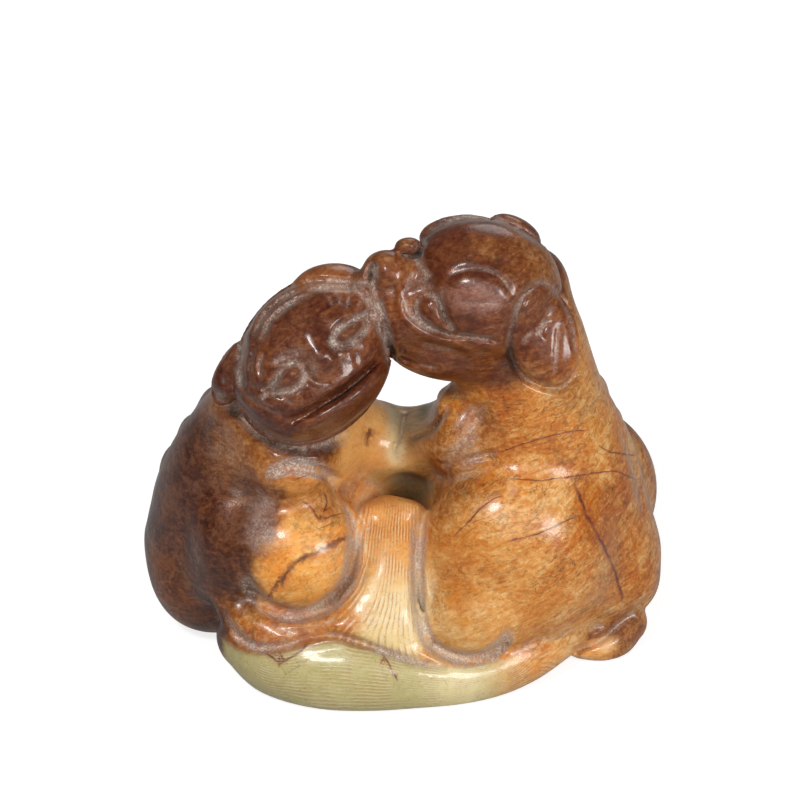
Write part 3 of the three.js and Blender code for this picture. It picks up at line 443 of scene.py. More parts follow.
def carve_bodies(block, form):
    wide, deep = form.fold_width / MM, form.fold_depth / MM
    # round the left haunch
    haunch = [
        (-16.8, -9.5), (-14.3, -8.3), (-11.6, -8.2), (-9.1, -9), (-7.1, -10.7), (-5.9, -12.8),
        (-5.5, -15.2), (-5.6, -18), (-6.3, -21.7), (-8.5, -24.7), (-11.9, -26.3), (-15.2, -25.8),
        (-17.9, -23.6), (-19.1, -21.3),
    ]
    block.fold(haunch, 0.5, deep, 0, 0.12, flat=0.3, dust=1.6)
    # left rim of the hanging tail, cut twice
    block.fold(
        [(-4, -12.9), (-4.6, -16.5), (-5, -19.7), (-6.2, -23.2), (-8.5, -25.4), (-11.8, -26.7)],
        0.45, 0.7, 2,
    )
    block.fold([(-3, -12.7), (-3.7, -16.5), (-4, -20.1), (-5.1, -23.4)], 0.25, 0.3, 2)
    # between the hanging tail and the right haunch
    by_tail = [
        (2.4, -12.2), (2.2, -17.1), (2.1, -21.9), (2.3, -25.6), (3.2, -28.8), (4.9, -30.7),
        (7.6, -31.6), (10.4, -31.3), (12.4, -29.9), (13.7, -27.8),
    ]
    block.fold(by_tail, 0.5, 1.15, -0.5, 0.12, flat=0.25, dust=1.5)
    # above the tail on the base
    over_base_tail = [
        (-22.8, -24.4), (-21.7, -26.1), (-20.5, -27.8), (-18.9, -29.4), (-16.8, -30.2), (-14, -29.9),
        (-11, -28.9), (-7.9, -28.6), (-5.5, -29.3), (-2.4, -30.5), (0, -31.3), (3, -32.2), (6.1, -32.7),
    ]
    block.fold(over_base_tail, 0.5, 0.9, -1, dust=0.9)
    block.fold([(-16.1, -27.1), (-13.4, -28.3), (-10, -27.7), (-7.3, -26.5)], 0.4, 0.35, 2, 0.3)
    block.fold([(-1.5, -30.7), (-0.6, -31.9), (0, -33.6)], 0.35, 0.3, 2, 0.3, dust=0.3)
    # over the near foot
    block.fold([(21, -30.7), (24.4, -29.3), (27.8, -26.6), (30.8, -24.2)], 0.5, deep, -9, 0.1, dust=0.4)
    # crease above the right haunch, and its upper edge
    block.fold([(11.8, -6.3), (12.9, -7.7), (13.2, -9.8), (13.7, -12.2)], 0.5, 0.5, 6, dust=0.6)
    block.fold(
        [(2.9, -13.7), (4.1, -10.5), (5.9, -8.5), (8.5, -7.2), (11.9, -6.3)],
        0.4, 0.9, 3, dust=0.35,
    )
    # between the right lion's foreleg and its haunch
    block.fold(
        [(10.7, -0.2), (9.5, -2.4), (7.7, -4.9), (5.9, -7.4), (4.6, -9.8)],
        0.8, 0.7, 0, 0.2, dust=0.45,
    )
    # block and crease behind the window
    block.fold(
        [(1, -4.9), (2.4, -4.4), (3.9, -3.7), (5.1, -2.2), (6.1, -0.4)],
        0.35, 0.7, -12, dust=0.6,
    )
    block.fold([(0.6, -1.6), (0.1, -4.1), (-0.7, -6), (-0.3, -7.6)], 0.35, 0.5, -12, dust=0.25)
    # where the far haunch shows at the right
    block.fold([(26.4, -3.2), (28, -6.6), (29, -11), (29.6, -14.5)], 0.45, 0.4, -99, 0.3, dust=0.3)
    # under the left head
    under_head = [
        (-23.4, 1.5), (-19.7, -1.5), (-16.8, -4.1), (-12.8, -5.9), (-8.5, -5.1), (-5.1, -3),
        (-2.7, -0.6),
    ]
    block.fold(under_head, wide, deep, 2, dust=0.7)


def carve_left_face(block, form):
    line, deep = form.eye_line / MM, form.eye_depth / MM
    mouth = [
        (-14.4, -2.7), (-12.2, -2), (-9.5, -0.5), (-6.7, 1.3), (-4.1, 3.4), (-2.4, 5.2), (-1.3, 6.6),
    ]
    block.fold(mouth, form.mouth_width / MM, form.mouth_depth / MM, 3, 0.4, flat=0.22, dust=0)
    # lower lip
    block.fold(
        [(-13.4, -3.8), (-10.4, -2.9), (-6.7, -0.7), (-3.9, 1.7), (-2, 4.1)],
        0.7, -0.55, 3, 0.3, dust=0,
    )
    block.fold([(-12.2, -0.9), (-9.1, 0.9), (-6.3, 2.8), (-3.7, 5.1)], 0.5, -0.25, 3, 0.3)  # upper lip
    # eyes: a line round each, its ball, the dip round it and the brow
    near_eye = [
        (-16.1, 0.9), (-15.2, 2.3), (-14.3, 3.7), (-13, 4.5), (-11.9, 4.1), (-11.7, 2.9), (-12.3, 1.7),
        (-13.7, 1.1), (-16.1, 0.9),
    ]
    far_eye = [
        (-8.4, 6.9), (-7.8, 8.3), (-6.6, 9.3), (-5.1, 10), (-3.8, 10.6), (-3.8, 9.4), (-4.5, 8.2),
        (-5.6, 7.2), (-6.9, 6.6), (-8.4, 6.9),
    ]
    block.fold(near_eye, line, deep, 1, 0, dust=0.62)
    block.fold(far_eye, line, deep, 1, 0, dust=0.7)
    block.fold([(-14.2, 2.3), (-13, 3.3)], 0.7, -0.95, 3, 0, dust=0)
    block.fold([(-6.8, 7.8), (-5.5, 8.7)], 0.65, -0.9, 3, 0, dust=0)
    block.fold(
        [(-15.4, 4.4), (-13.5, 5.7), (-11.6, 5.5), (-10.6, 3.9), (-10.8, 1.7)],
        0.8, 0.35, 1, 0.2, dust=0.45,
    )
    block.fold([(-9, 9.3), (-6.8, 10.6), (-4.1, 11.8)], 0.9, -0.4, 3, 0.3)
    block.fold([(-8.5, 5.9), (-6.7, 6.6), (-4.5, 6.3)], 0.25, 0.3, 3, 0.2)
    block.fold([(-16.8, 0.2), (-16.1, 0.9)], 0.25, 0.3, 0, 0)
    # brow strokes and whiskers
    for stroke in (
        [(-9, 13), (-8, 11.2)], [(-7.7, 13.4), (-7.2, 11.5)], [(-6, 13.7), (-6.5, 11)],
        [(-4.6, 12.6), (-5.5, 10.5)],
    ):
        block.fold(stroke, 0.2, 0.3, 3, 0.3, dust=0.6)
    for stroke in (
        [(-10.5, 1.5), (-10.6, 2.8)], [(-6.6, 5.9), (-6.5, 3.8)], [(-5.7, 5.9), (-5.1, 4)],
        [(-12.2, 0), (-11.7, 1.2)],
    ):
        block.fold(stroke, 0.2, 0.22, 3, 0.3, dust=0.5)
    # nose, its ridge and the creases beside it
    block.fold([(-11.4, 9.7), (-10.6, 6.9), (-9.2, 4.8)], 1.8, -0.6, 3, 0.3)
    block.fold([(-9.8, 4.6), (-8.6, 5)], 1.5, -0.75, 3, 0)
    block.fold([(-11.6, 4.9), (-11.1, 2.9), (-10, 2.1), (-8.5, 2.4)], 0.4, 0.55, 3, 0.3, dust=0.3)
    block.fold([(-8.3, 6.2), (-7.3, 4.9), (-7.2, 3.7)], 0.4, 0.35, 3, 0.3, dust=0.3)
    # edge of the face
    face_edge = [(-11.9, 13.4), (-8.5, 13.7), (-5.6, 13.5), (-4.1, 12.2), (-3, 9.8), (-2, 6.7)]
    block.fold(face_edge, 0.3, 0.5, 0, dust=0.65)
    block.fold(
        [(-12.2, 14), (-8.3, 14.3), (-5.1, 14.1), (-3.3, 12.2), (-2.3, 9.1), (-1.3, 6.5)],
        0.55, -0.25, 0, dust=0,
    )
    # roll of hair behind the face
    for strand in (
        [(-19, 7.6), (-17.8, 10.5), (-16, 12.3), (-14, 13.5), (-12.2, 14.1)],
        [(-18, 7.3), (-16.8, 10), (-15.1, 11.7), (-13.2, 12.9), (-11.2, 13.7)],
        [(-17.1, 6.7), (-16, 9.3), (-14.3, 11), (-12.3, 12.3), (-10.4, 13)],
    ):
        block.fold(strand, 0.3, 0.6, -6, 0.2, dust=0.55)
    # tuft before the ear and strip along the jaw
    for strand in (
        [(-18.7, 6.7), (-19.1, 4.3), (-19.1, 1.8)],
        [(-17.6, 6.7), (-18.2, 4.6), (-18.4, 2.6)],
        [(-16.7, 6), (-17.1, 4.1), (-16.7, 2.3)],
        [(-19, 1.7), (-16.8, 1.5), (-14, 0.2), (-12.2, -1)],
        [(-19.1, 0.6), (-16.8, -0.7), (-14, -2)],
    ):
        block.fold(strand, 0.28, 0.4, -1, 0.2, dust=0.35)
    # ears
    block.fold([(-11.9, 14.3), (-8.5, 14.5), (-3.4, 14.1)], 0.4, 0.8, -6, dust=0.6)
    block.fold([(-18.8, 7.9), (-19.4, 5.9), (-19.6, 3.4), (-19.3, 1)], 0.45, 0.6, -1, dust=0.6)
    block.fold([(-20, 6.3), (-21, 4.6), (-21.2, 2.7), (-20.6, 1)], 0.8, 0.4, -3, 0.3, dust=0.2)
    # where the two heads touch
    touch = [(-1.2, 5.1), (-1.7, 8.5), (-2.7, 11.6), (-3.4, 14.1), (-3.2, 16.1)]
    block.fold(touch, 0.6, form.fold_depth / MM, -6, 0, dust=0.8)


def carve_right_face(block, form):
    # heavy eyelid, the dip over it, the line before it and the slit
    block.fold([(8, 13.2), (11.2, 12.7)], 2.4, -0.6, -2, 0, flat=0.8, dust=0)
    block.fold(
        [(5.7, 14.8), (7.7, 15.8), (10.6, 15.8), (12.7, 14.5), (13.7, 12.4)],
        0.45, 0.4, -2, 0.2, dust=0.15,
    )
    block.fold([(5.6, 14.6), (5, 12.4), (5.6, 10), (7.1, 8.4)], 0.4, 0.4, -2, 0.2, dust=0.4)
    block.fold([(6.7, 12.2), (8.5, 11.7), (12.7, 11.8)], 0.2, 0.4, -2, 0.2, dust=0.5)
    block.fold([(8.5, 17.3), (12.2, 16.8), (15.8, 15.6)], 0.9, 0.25, -2, 0.3, dust=0.2)
    # mouth: the groove round the curl of the lip, and the lip under it
    mouth = [(2.9, 12.9), (2, 11.8), (2.2, 10.4), (3.7, 9), (6, 8), (9.1, 7.7), (12.2, 7.2)]
    block.fold(mouth, 0.36, 0.9, -2, 0.08, dust=0.5)
    block.fold(
        [(2.9, 12.9), (4.1, 12.8), (5, 11.5), (5.6, 9.8), (6.9, 8.2)],
        0.34, 0.75, -2, 0.08, dust=0.6,
    )
    block.fold([(2.9, 11.8), (3.7, 10.5), (5.1, 9)], 0.7, -0.4, -2, 0.2, dust=0)
    block.fold(
        [(-0.2, 12.2), (0.4, 10.2), (2, 8.7), (4.4, 7.4), (7.6, 6.9)],
        0.45, -0.4, -2, 0.2, dust=0,
    )
    block.fold([(0.5, 12.7), (1.1, 10.6), (2.6, 9.1), (4.6, 8.2)], 0.35, 0.35, -2, 0.2, dust=0.9)
    block.fold([(-0.1, 15.1), (-0.1, 13.2), (0.2, 11.2)], 0.5, -0.3, -2, 0.3, dust=0)
    block.fold([(-2, 13.3), (-0.4, 13.5)], 0.25, 0.35, -4, 0.2, dust=0.5)
    block.fold([(1.2, 15.8), (2.4, 14.4), (4.6, 13.7)], 1.2, 0.4, -2, 0.3, dust=0.5)
    # under the jaw
    block.fold([(-0.2, 5.4), (1.8, 4.5), (4.9, 3.9)], 0.3, 0.6, -4, 0.2, dust=0.2)
    block.fold([(0.1, 6.9), (0.6, 5.9)], 0.3, 0.3, -4, 0.2, dust=0.2)
    # the dip before the brow, and round the knob
    block.fold([(2.9, 19.7), (2.3, 18), (2.7, 16.1), (3.9, 14.6)], 0.5, 0.5, -2, dust=0.6)
    block.fold([(-0.2, 17.9), (1.2, 17.6), (2.7, 18)], 0.3, 0.45, -4, 0.2, dust=0.6)
    block.fold([(-2.3, 17.6), (-1, 16.8), (-0.5, 15.6)], 0.3, 0.3, -4, 0.3, dust=0.4)
    # edge of the brow
    block.fold([(2.7, 20), (5, 21.5), (9.1, 22.2), (12.8, 21.7), (17.7, 18.8)], 0.4, 0.5, -8, dust=0.6)
    # ear
    ear = [
        (17.1, 13.9), (14.9, 12.6), (13.8, 9.5), (13.3, 7.1), (14.1, 4.1), (15.8, 2.4), (18.5, 1.5),
        (20.2, 1.8), (21.8, 3.7),
    ]
    block.fold(ear, 0.45, 0.9, -2, 0.1, dust=0.45)
    block.fold(
        [(15.4, 14.1), (17.7, 14.3), (19.5, 12.6), (20.7, 9.8), (21.6, 4.9)],
        0.35, 0.5, -4, dust=0.4,
    )
    block.fold([(18.4, 9.9), (17.4, 9.1), (17.1, 8), (17.6, 7.2)], 0.28, 0.4, -2, 0.15, dust=0.25)
    block.fold([(19.4, 9.3), (19.1, 6.7), (19, 2.7)], 0.28, 0.3, -2, 0.15, dust=0.1)
    block.fold([(20.2, 11), (21, 7.9), (21.2, 4.3)], 0.4, -0.2, -4, 0.2, dust=0)


def skin_of(block):
    """Four-sided faces of the surface where the distance is nothing. Each grid cell that the surface
    crosses gets one point, the mean of the crossings on its edges; each crossed grid edge gets the face
    of the four cells round it."""
    field = block.field
    inside = field < 0
    cells = tuple(n - 1 for n in field.shape)
    total = np.zeros(cells + (3,), np.float32)
    count = np.zeros(cells, np.float32)

    def corner(c):
        return field[tuple(slice(c[a], cells[a] + c[a]) for a in range(3))]

    for c in ((i, j, k) for i in (0, 1) for j in (0, 1) for k in (0, 1)):
        for axis in (a for a in range(3) if c[a] == 0):
            other = tuple(1 if a == axis else c[a] for a in range(3))
            first, second = corner(c), corner(other)
            crossed = (first < 0) != (second < 0)
            t = np.where(crossed, first / np.where(crossed, first - second, 1), 0)
            for a in range(3):
                total[..., a] += np.where(crossed, c[a] + (t if a == axis else 0), 0)
            count += crossed
    has = count > 0
    number = np.full(cells, -1, np.int64)
    number[has] = np.arange(has.sum())
    points = block.low + block.step * (np.argwhere(has) + total[has] / count[has][:, None])
    faces = []
    for axis in range(3):
        side, over = (a for a in range(3) if a != axis)
        first = inside[tuple(slice(0, -1) if a == axis else slice(None) for a in range(3))]
        second = inside[tuple(slice(1, None) if a == axis else slice(None) for a in range(3))]
        edges = np.argwhere(first != second)
        starts_inside = first[tuple(edges.T)]
        around = []
        for back_side, back_over in ((1, 1), (0, 1), (0, 0), (1, 0)):
            cell = edges.copy()
            cell[:, side] -= back_side
            cell[:, over] -= back_over
            around.append(number[tuple(cell.T)])
        quads = np.stack(around, 1)
        turn = starts_inside if axis == 1 else ~starts_inside
        quads[turn] = quads[turn][:, ::-1]
        faces.append(quads)
    return points, np.vstack(faces)


def largest_shell(points, faces):
    """Keeps the shell with the most points: every point takes the lowest number among its neighbours
    until none changes."""
    edges = np.vstack([faces[:, [i, (i + 1) % 4]] for i in range(4)])
    label = np.arange(len(points))
    while True:
        least = label.copy()
        low = np.minimum(label[edges[:, 0]], label[edges[:, 1]])
        np.minimum.at(least, edges[:, 0], low)
        np.minimum.at(least, edges[:, 1], low)
        least = least[least]
        if np.array_equal(least, label):
            break
        label = least
    keep = label == np.bincount(label).argmax()
    renumber = np.cumsum(keep) - 1
    return points[keep], renumber[faces[keep[faces[:, 0]]]]


def mesh_of(name, points, faces):
    """A mesh from whole arrays of points and four-sided faces."""
    mesh = bpy.data.meshes.new(name)
    mesh.vertices.add(len(points))
    mesh.vertices.foreach_set("co", points.astype(np.float32).ravel())
    mesh.loops.add(faces.size)
    mesh.loops.foreach_set("vertex_index", faces.astype(np.int32).ravel())
    mesh.polygons.add(len(faces))
    mesh.polygons.foreach_set("loop_start", np.arange(0, faces.size, 4, dtype=np.int32))
    mesh.update(calc_edges=True)
    return mesh


def thinned(thing, most):
    """Joins short and flat edges of the thing's mesh until it has at most that many triangles."""
    triangles = 2 * len(thing.data.polygons)
    thin = thing.modifiers.new("thin", "DECIMATE")
    thin.ratio = min(1.0, most / triangles)
    graph = bpy.context.evaluated_depsgraph_get()
    mesh = bpy.data.meshes.new_from_object(thing.evaluated_get(graph))
    thing.modifiers.clear()
    rough = thing.data
    thing.data = mesh
    bpy.data.meshes.remove(rough)
    mesh.polygons.foreach_set("use_smooth", np.ones(len(mesh.polygons), bool))


def lion_shift(points):
    """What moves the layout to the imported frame: the middle of the points goes to the node's middle."""
    low, high = points.min(0), points.max(0)
    middle_point = (np.array(CAD_LOW) + np.array(CAD_HIGH)) / 2 / MM
    return np.array([*(middle_point - (low + high) / 2)[:2], 0.0])


def smooth(value):
    """0 to 1 with level ends: 3 t^2 - 2 t^3."""
    t = np.clip(value, 0, 1)
    return t * t * (3 - 2 * t)


def patch(points, centre, radii, rim):
    """1 inside an ellipsoid and 0 outside, with |q| the place over the radii: (1 - |q|) / rim + 1/2."""
    q = np.linalg.norm((points - np.array(centre)) / np.array(radii), axis=1)
    return smooth((1 - q) / rim + 0.5)


def cloud(points, size, order):
    """Noise from -1 to 1: random values on a grid of the given spacing, mixed with eased shares."""
    place = points / size
    base = np.floor(place).astype(int)
    part = smooth(place - base)
    base -= base.min(0)
    grid = np.random.default_rng(order).uniform(-1, 1, base.max(0) + 2)
    total = 0
    for corner in range(8):
        pick = np.array([(corner >> a) & 1 for a in range(3)])
        i, j, k = (base + pick).T
        total = total + np.prod(np.where(pick, part, 1 - part), 1) * grid[i, j, k]
    return total


def ragged(points, reach):
    """The points moved about by clouds of two sizes, so that edges painted at them wander."""
    wide = np.stack([cloud(points, 4.5, order) for order in (1, 2, 3)], 1)
    fine = np.stack([cloud(points, 1.3, order) for order in (4, 5, 6)], 1)
    return points + reach * (wide + 0.45 * fine)


# The edge between the dark back and the bright haunch of the left lion, downwards
HAUNCH_EDGE = (
    (-15, -6.5), (-14.6, -8.6), (-14, -11), (-13.6, -13.4), (-14.3, -16), (-16, -18.5), (-16.9, -21),
    (-17.7, -24), (-19, -27.4),
)
# Veins in the stone, as paths in the layout with the nearest depth they show at and their half width
VEINS = (
    (
        (
            (-14.5, -23.4), (-13.8, -21), (-12.2, -19.5), (-10, -18.7), (-8.3, -17.7), (-6.7, -16.8),
            (-5.7, -16.3),
        ),
        2, 0.3,
    ),
    (((-16.5, -24.7), (-15.5, -23.2), (-14.5, -21.3)), 2, 0.14),
    (((-12.2, -12.2), (-10.7, -13.2), (-9.8, -14.6), (-8.2, -14.1), (-6.7, -13.8)), 2, 0.12),
    (
        (
            (21.2, -9.8), (21.9, -11.6), (22.7, -13.8), (23.4, -15.2), (24.9, -18), (26, -20.5),
            (26.9, -23.4), (27.3, -25.1),
        ),
        -6, 0.2,
    ),
    (
        (
            (12.8, -9.5), (16.5, -9.8), (19.5, -9.5), (23.2, -9), (26.2, -8.7), (28.3, -9.5),
            (29.9, -9.8),
        ),
        -8, 0.1,
    ),
    (((11.9, -6.5), (14.6, -5.5), (18, -4.5), (21.3, -3.8), (23.4, -3.7)), -4, 0.08),
    (((24.1, -5.4), (25.6, -6.3), (28.8, -6.8)), -8, 0.1),
    (((12.8, -17.3), (15.8, -16.6), (18.5, -15.6), (20.5, -14.6), (22.4, -13.9)), 2, 0.1),
    (((6.3, -16.8), (8.3, -14.9), (10, -13), (11.7, -11.9), (12.8, -11.7)), 2, 0.1),
    (((-4.1, -5.7), (-3.9, -4.6), (-3.4, -3.4)), -12, 0.35),
    (((-16.8, -30.6), (-14.6, -31.9), (-13.4, -31.4), (-12.2, -30.6), (-11, -29.4)), 2, 0.14),
    (((-15, -30.2), (-14.4, -31.6), (-14.9, -32.6)), 2, 0.1),
    (((-2.4, -30.8), (-1.5, -31.9), (-1, -33), (-0.2, -34.4)), 2, 0.13),
    (((-1.9, -31.4), (-2.6, -32.4)), 2, 0.1),
    (((-13.2, -9.8), (-10.6, -9.2), (-8.4, -10.4), (-7, -12.4)), 2, 0.1),
    (((-9.8, -14.6), (-8.9, -12.6), (-9.4, -11)), 2, 0.08),
)


def add_value(mesh, name, values):
    layer = mesh.attributes.new(name, "FLOAT", "POINT")
    layer.data.foreach_set("value", values.astype(np.float32))


def paint(thing, block, shift, colours):
    """Gives the skin its marks: broad colour with a few painted highlights and patches of painted light,
    dust in the folds, veins and the count of the hairs.
    """
    mesh = thing.data
    count = len(mesh.vertices)
    place = np.zeros(count * 3, np.float32)
    normal = np.zeros(count * 3, np.float32)
    mesh.vertices.foreach_get("co", place)
    mesh.vertex_normals.foreach_get("vector", normal)
    p = place.reshape(-1, 3) / MM - shift
    facing = normal.reshape(-1, 3) @ TOWARDS
    u, v, depth = seen(p)

    tone = np.tile(np.array(colours.honey[:3]), (count, 1))
    rim_gap = path_gap(u, v, curve(LYING_TOP, FOLD_STEPS))[0]
    stain = np.full(count, 0.3)
    streaks = np.full(count, 0.75)

    def lay(colour, weight, stained=None, streaked=None):
        """Mixes a colour in by weight, and how stained and streaked the stone is there."""
        weight = np.asarray(weight)
        tone[:] += (np.array(colour[:3]) - tone) * weight[:, None]
        if stained is not None:
            stain[:] += (stained - stain) * weight
        if streaked is not None:
            streaks[:] += (streaked - streaks) * weight

    hanging = path_weight(p, [at(*row[:3]) for row in HANGING_TAIL], 5.5, 2.0)
    base = path_weight(p, [row[:3] for row in BASE_TAIL], 6.6, 1.6) * smooth((u + 22) / 0.9)
    face = ragged(p, 0.3)
    body = ragged(p, 1.5)
    body_u, body_v, _ = seen(body)
    hairs, below = hair_count(u, v)
    # right lion
    lay(colours.gold, patch(body, at(9, -24, -14), (10, 9, 9), 0.7) * 0.8, 0.1, 0.5)
    lay(colours.straw, patch(body, at(8, -27, -14), (5.5, 8, 3.6), 0.9) * 0.4, 0.0, 0.3)
    lay(colours.gold, patch(body, at(15, -15, -14), (9, 9, 4.5), 0.8) * 0.5)
    lay(colours.bark, patch(body, at(5.5, -9.5, -6), (4.5, 6, 7), 0.8) * 0.6, 0.5)
    # painted highlight: a paler apricot patch in the middle of the right haunch where the broad highlight
    # falls
    lay(colours.apricot, patch(body, at(14.6, -14, -15), (6.5, 8, 3.6), 0.9) * 0.65, 0.2, 0.9)
    lay(colours.bark, patch(body, at(10, -3, -4), (3.2, 6, 4), 0.8) * 0.5, 0.7)
    lay(colours.bark, patch(body, at(27, -16, 0), (6, 18, 16), 0.8) * 0.2, 0.5)
    lay(colours.bark, patch(body, (24, 16, 20), (16, 10, 24), 0.8) * 0.5, 0.8)
    lay(colours.apricot, patch(body, at(22.4, -21.5, -8), (5, 8, 6.5), 0.8) * 0.45)
    lay(colours.gold, patch(body, at(22.6, 4, 1), (4.5, 9, 9), 0.8) * 0.7, 0.2)
    lay(colours.bark, patch(body, at(26, -29.4, -8), (6, 7, 4), 0.5), 0.8, 0.4)
    lay(colours.orange, patch(body, at(25, -30, -9), (3, 6, 2.4), 0.8) * 0.4)
    # left lion: dark russet back, brown shoulder, orange haunch with a purple-brown bloom that is partly
    # a painted sheen
    lay(colours.bark, patch(body, (-24, 2, 26), (17, 18, 22), 0.6) * 0.72, 0.6, 0.5)
    lay(colours.russet, patch(body, (-30, 5, 16), (15, 22, 20), 0.55), 1.0, 0.25)
    lay(colours.bark, patch(body, at(-26, -23.5, -2), (5.5, 5.5, 8), 0.8) * 0.6)
    lay(colours.russet, patch(body, at(-22, -27, -9), (4.6, 7, 4), 0.6), 0.9, 0.25)
    lay(colours.honey, patch(body, at(-13, -28, -14), (8, 6, 2.6), 0.6), 0.5, 0.5)
    lay(colours.blush, patch(body, at(-15, -27.6, -14), (6, 6, 2), 0.8) * 0.6)
    lay(colours.amber, patch(body, at(-10.6, -17.6, -14), (7.6, 8.8, 9), 0.2), 0.3, 0.35)
    lay(colours.orange, patch(body, at(-7, -16, -12), (3.4, 6, 6), 0.8) * 0.6, 0.6, 0.5)
    edge_gap, _, edge_side = path_gap(body_u, body_v, curve(HAUNCH_EDGE, FOLD_STEPS))
    dark_side = smooth(0.5 - edge_gap * edge_side / 1.6)
    on_haunch = patch(p, at(-17, -17, -10), (8.5, 10.5, 9), 0.3)
    lay(colours.russet, dark_side * on_haunch * 0.9, 1.0, 0.25)
    lay(colours.bark, patch(body, at(-10.6, -11, -10), (7, 6, 3), 0.8) * 0.6, 0.6, 0.4)
    # purple-brown bloom on the left haunch: partly the stone's colour, partly a painted sheen where the
    # highlight falls
    lay(colours.bloom_and_sheen, patch(body, at(-16, -14.6, -10), (2.8, 6, 3.6), 0.9) * 0.45, 0.4, 0.4)
    # arm and the stone round the well
    lay(colours.apricot, patch(face, at(-5.4, -4.6, 0), (9, 8, 5), 0.35), 0.0, 0.1)
    lay(colours.cream, patch(p, at(-0.5, -4.2, 3), (1.3, 7, 3.4), 0.9) * 0.7, 0.0, 0.0)
    lay(colours.bloom_and_sheen, patch(face, at(3.4, -2.2, 5), (3, 7, 2.4), 0.5) * 0.5, 0.4, 0.1)
    # painted light: apricot and cream lighten the shaded block behind the window as if it were lit
    lay(colours.apricot, patch(p, at(3.2, -2.4, 5), (3, 7, 2.2), 0.8) * 0.6)
    lay(colours.cream, patch(p, at(3.4, -2.4, 5), (3, 7, 2), 0.8) * 0.4)
    lay(colours.moss, patch(p, at(3, 0.3, 9), (2.4, 5, 0.9), 0.6), 0.3, 0.0)
    lay(colours.straw, patch(p, at(2.2, -6.4, 2), (2.6, 6, 1.9), 0.8) * 0.5, 0.2, 0.1)
    lay(colours.moss, patch(p, at(0.5, -10.4, 1), (4.4, 8, 3), 0.6), 0.2, 0.0)
    lay(colours.celadon, patch(p, at(-1.4, -8.7, 1), (2.4, 6, 1.5), 0.9) * 0.85, 0.0, 0.0)
    lay(colours.bloom_and_sheen, patch(body, at(-8, -9.4, -2), (5, 8, 1.5), 0.8) * 0.2, 0.4, 0.1)
    # tails
    lay(colours.orange, hanging * (1 - below) * smooth((v + 29) / 8), 0.0, 0.25)
    yellow = hanging * (1 - below) * smooth((body_u + 6.4) / 4)
    lay(colours.straw, yellow * smooth((-v - 17) / 9), 0.0, 0.15)
    lay(colours.orange, base * below * smooth((u - 7) / 6), 0.1, 0.45)
    lay(colours.celadon, base * below * smooth((17 - u) / 9), 0.0, 0.03)
    # painted light: the right part of the tail on the base is made paler, as if lit from the right
    lay(colours.cream, base * below * smooth((u - 1) / 6) * smooth((13 - u) / 5) * 0.6)
    lay(colours.cream, yellow * smooth((-v - 19) / 7) * 0.5)
    lay(colours.bark, 0.75 * np.exp(-((rim_gap / 0.45) ** 2)) * base * smooth((4 - u) / 4), 0.2, 0.2)
    # heads
    lay(colours.head, patch(face, at(-10.6, 4.9, -8), (12, 12, 13), 0.15), 0.75, 0.3)
    lay(colours.russet, patch(body, at(-10.6, 4.9, -8), (12, 12, 13), 0.15) * 0.5)
    lay(colours.head, patch(face, at(-20.2, 4, -6), (5, 6, 6), 0.3), 0.7, 0.35)
    lay(colours.tan, patch(face, at(-8.3, 14.8, -4), (5.5, 5, 3), 0.3), 0.3, 0.35)
    lay(colours.head, patch(body, at(7, 14, -1), (14, 17, 12), 0.4), 0.65, 0.3)
    lay(colours.head, patch(body, at(4, 6.5, -5), (10, 9, 4.5), 0.4), 0.65, 0.3)
    lay(colours.head, patch(face, at(17.6, 8.6, -9), (3.7, 6, 6.8), 0.35) * 0.75, 0.6, 0.3)
    lay(colours.tan, patch(face, at(19.6, 5.6, -9), (1.6, 6, 4.4), 0.8) * 0.4, 0.4)
    lay(colours.russet, patch(body, at(15, 17.5, -8), (7, 8, 6), 0.8) * 0.45, 0.8, 0.25)
    lay(colours.russet, patch(face, at(-17.2, 3.8, -8), (2.6, 6, 4.2), 0.5))
    # painted highlight: a pale purple-brown patch on the right lion's eyelid where the broad highlight
    # falls
    lay(colours.bloom_and_sheen, patch(face, at(9.2, 13.4, -9), (3.4, 6, 1.9), 0.8) * 0.55, 0.3, 0.2)
    lay(colours.tan, patch(face, at(0, 13.5, -8), (3, 6, 3.4), 0.8) * 0.5)

    add_value(mesh, "stain", stain)
    add_value(mesh, "streaks", streaks)
    layer = mesh.attributes.new("tone", "FLOAT_COLOR", "POINT")
    layer.data.foreach_set("color", np.hstack([tone, np.ones((count, 1))]).astype(np.float32).ravel())

    # dust lies in the folds and on three worn places, and is wiped off two; two more patches on the
    # haunches use the same pale specks as a painted speckled sheen
    dust = block.sample(block.dust, p)
    for centre, radii, most in (
        # painted sheen: pale specks where the speckled highlight falls on the left haunch
        (at(-16, -14.4, -10), (2.4, 6, 3.4), 0.4),
        (at(-21, -4.5, -4), (4, 6, 3.6), 0.25),
        (at(8.6, -5, -6), (2, 6, 4), 0.4),
        (at(-8, -9.4, -2), (6, 6, 1.6), 0.14),
        # painted sheen: pale specks where the broad highlight falls on the right haunch
        (at(14, -15, -15), (5, 6, 2.6), 0.16),
    ):
        dust = np.maximum(dust, patch(body, centre, radii, 0.9) * most)
    for centre, radii in ((at(-8.6, -29, -17), (5, 6, 2)), (at(-8.6, -9.6, -7), (3.6, 6, 2.2))):
        dust = dust * (1 - WIPED_SHARE * patch(p, centre, radii, 0.8))
    add_value(mesh, "dust", dust)
    # the dips of the left face hold no dust
    hollow = hollowness(block, p) * (1 - patch(p, at(-8, 1, -10), (10, 12, 7), 0.6))
    add_value(mesh, "hollow", hollow)

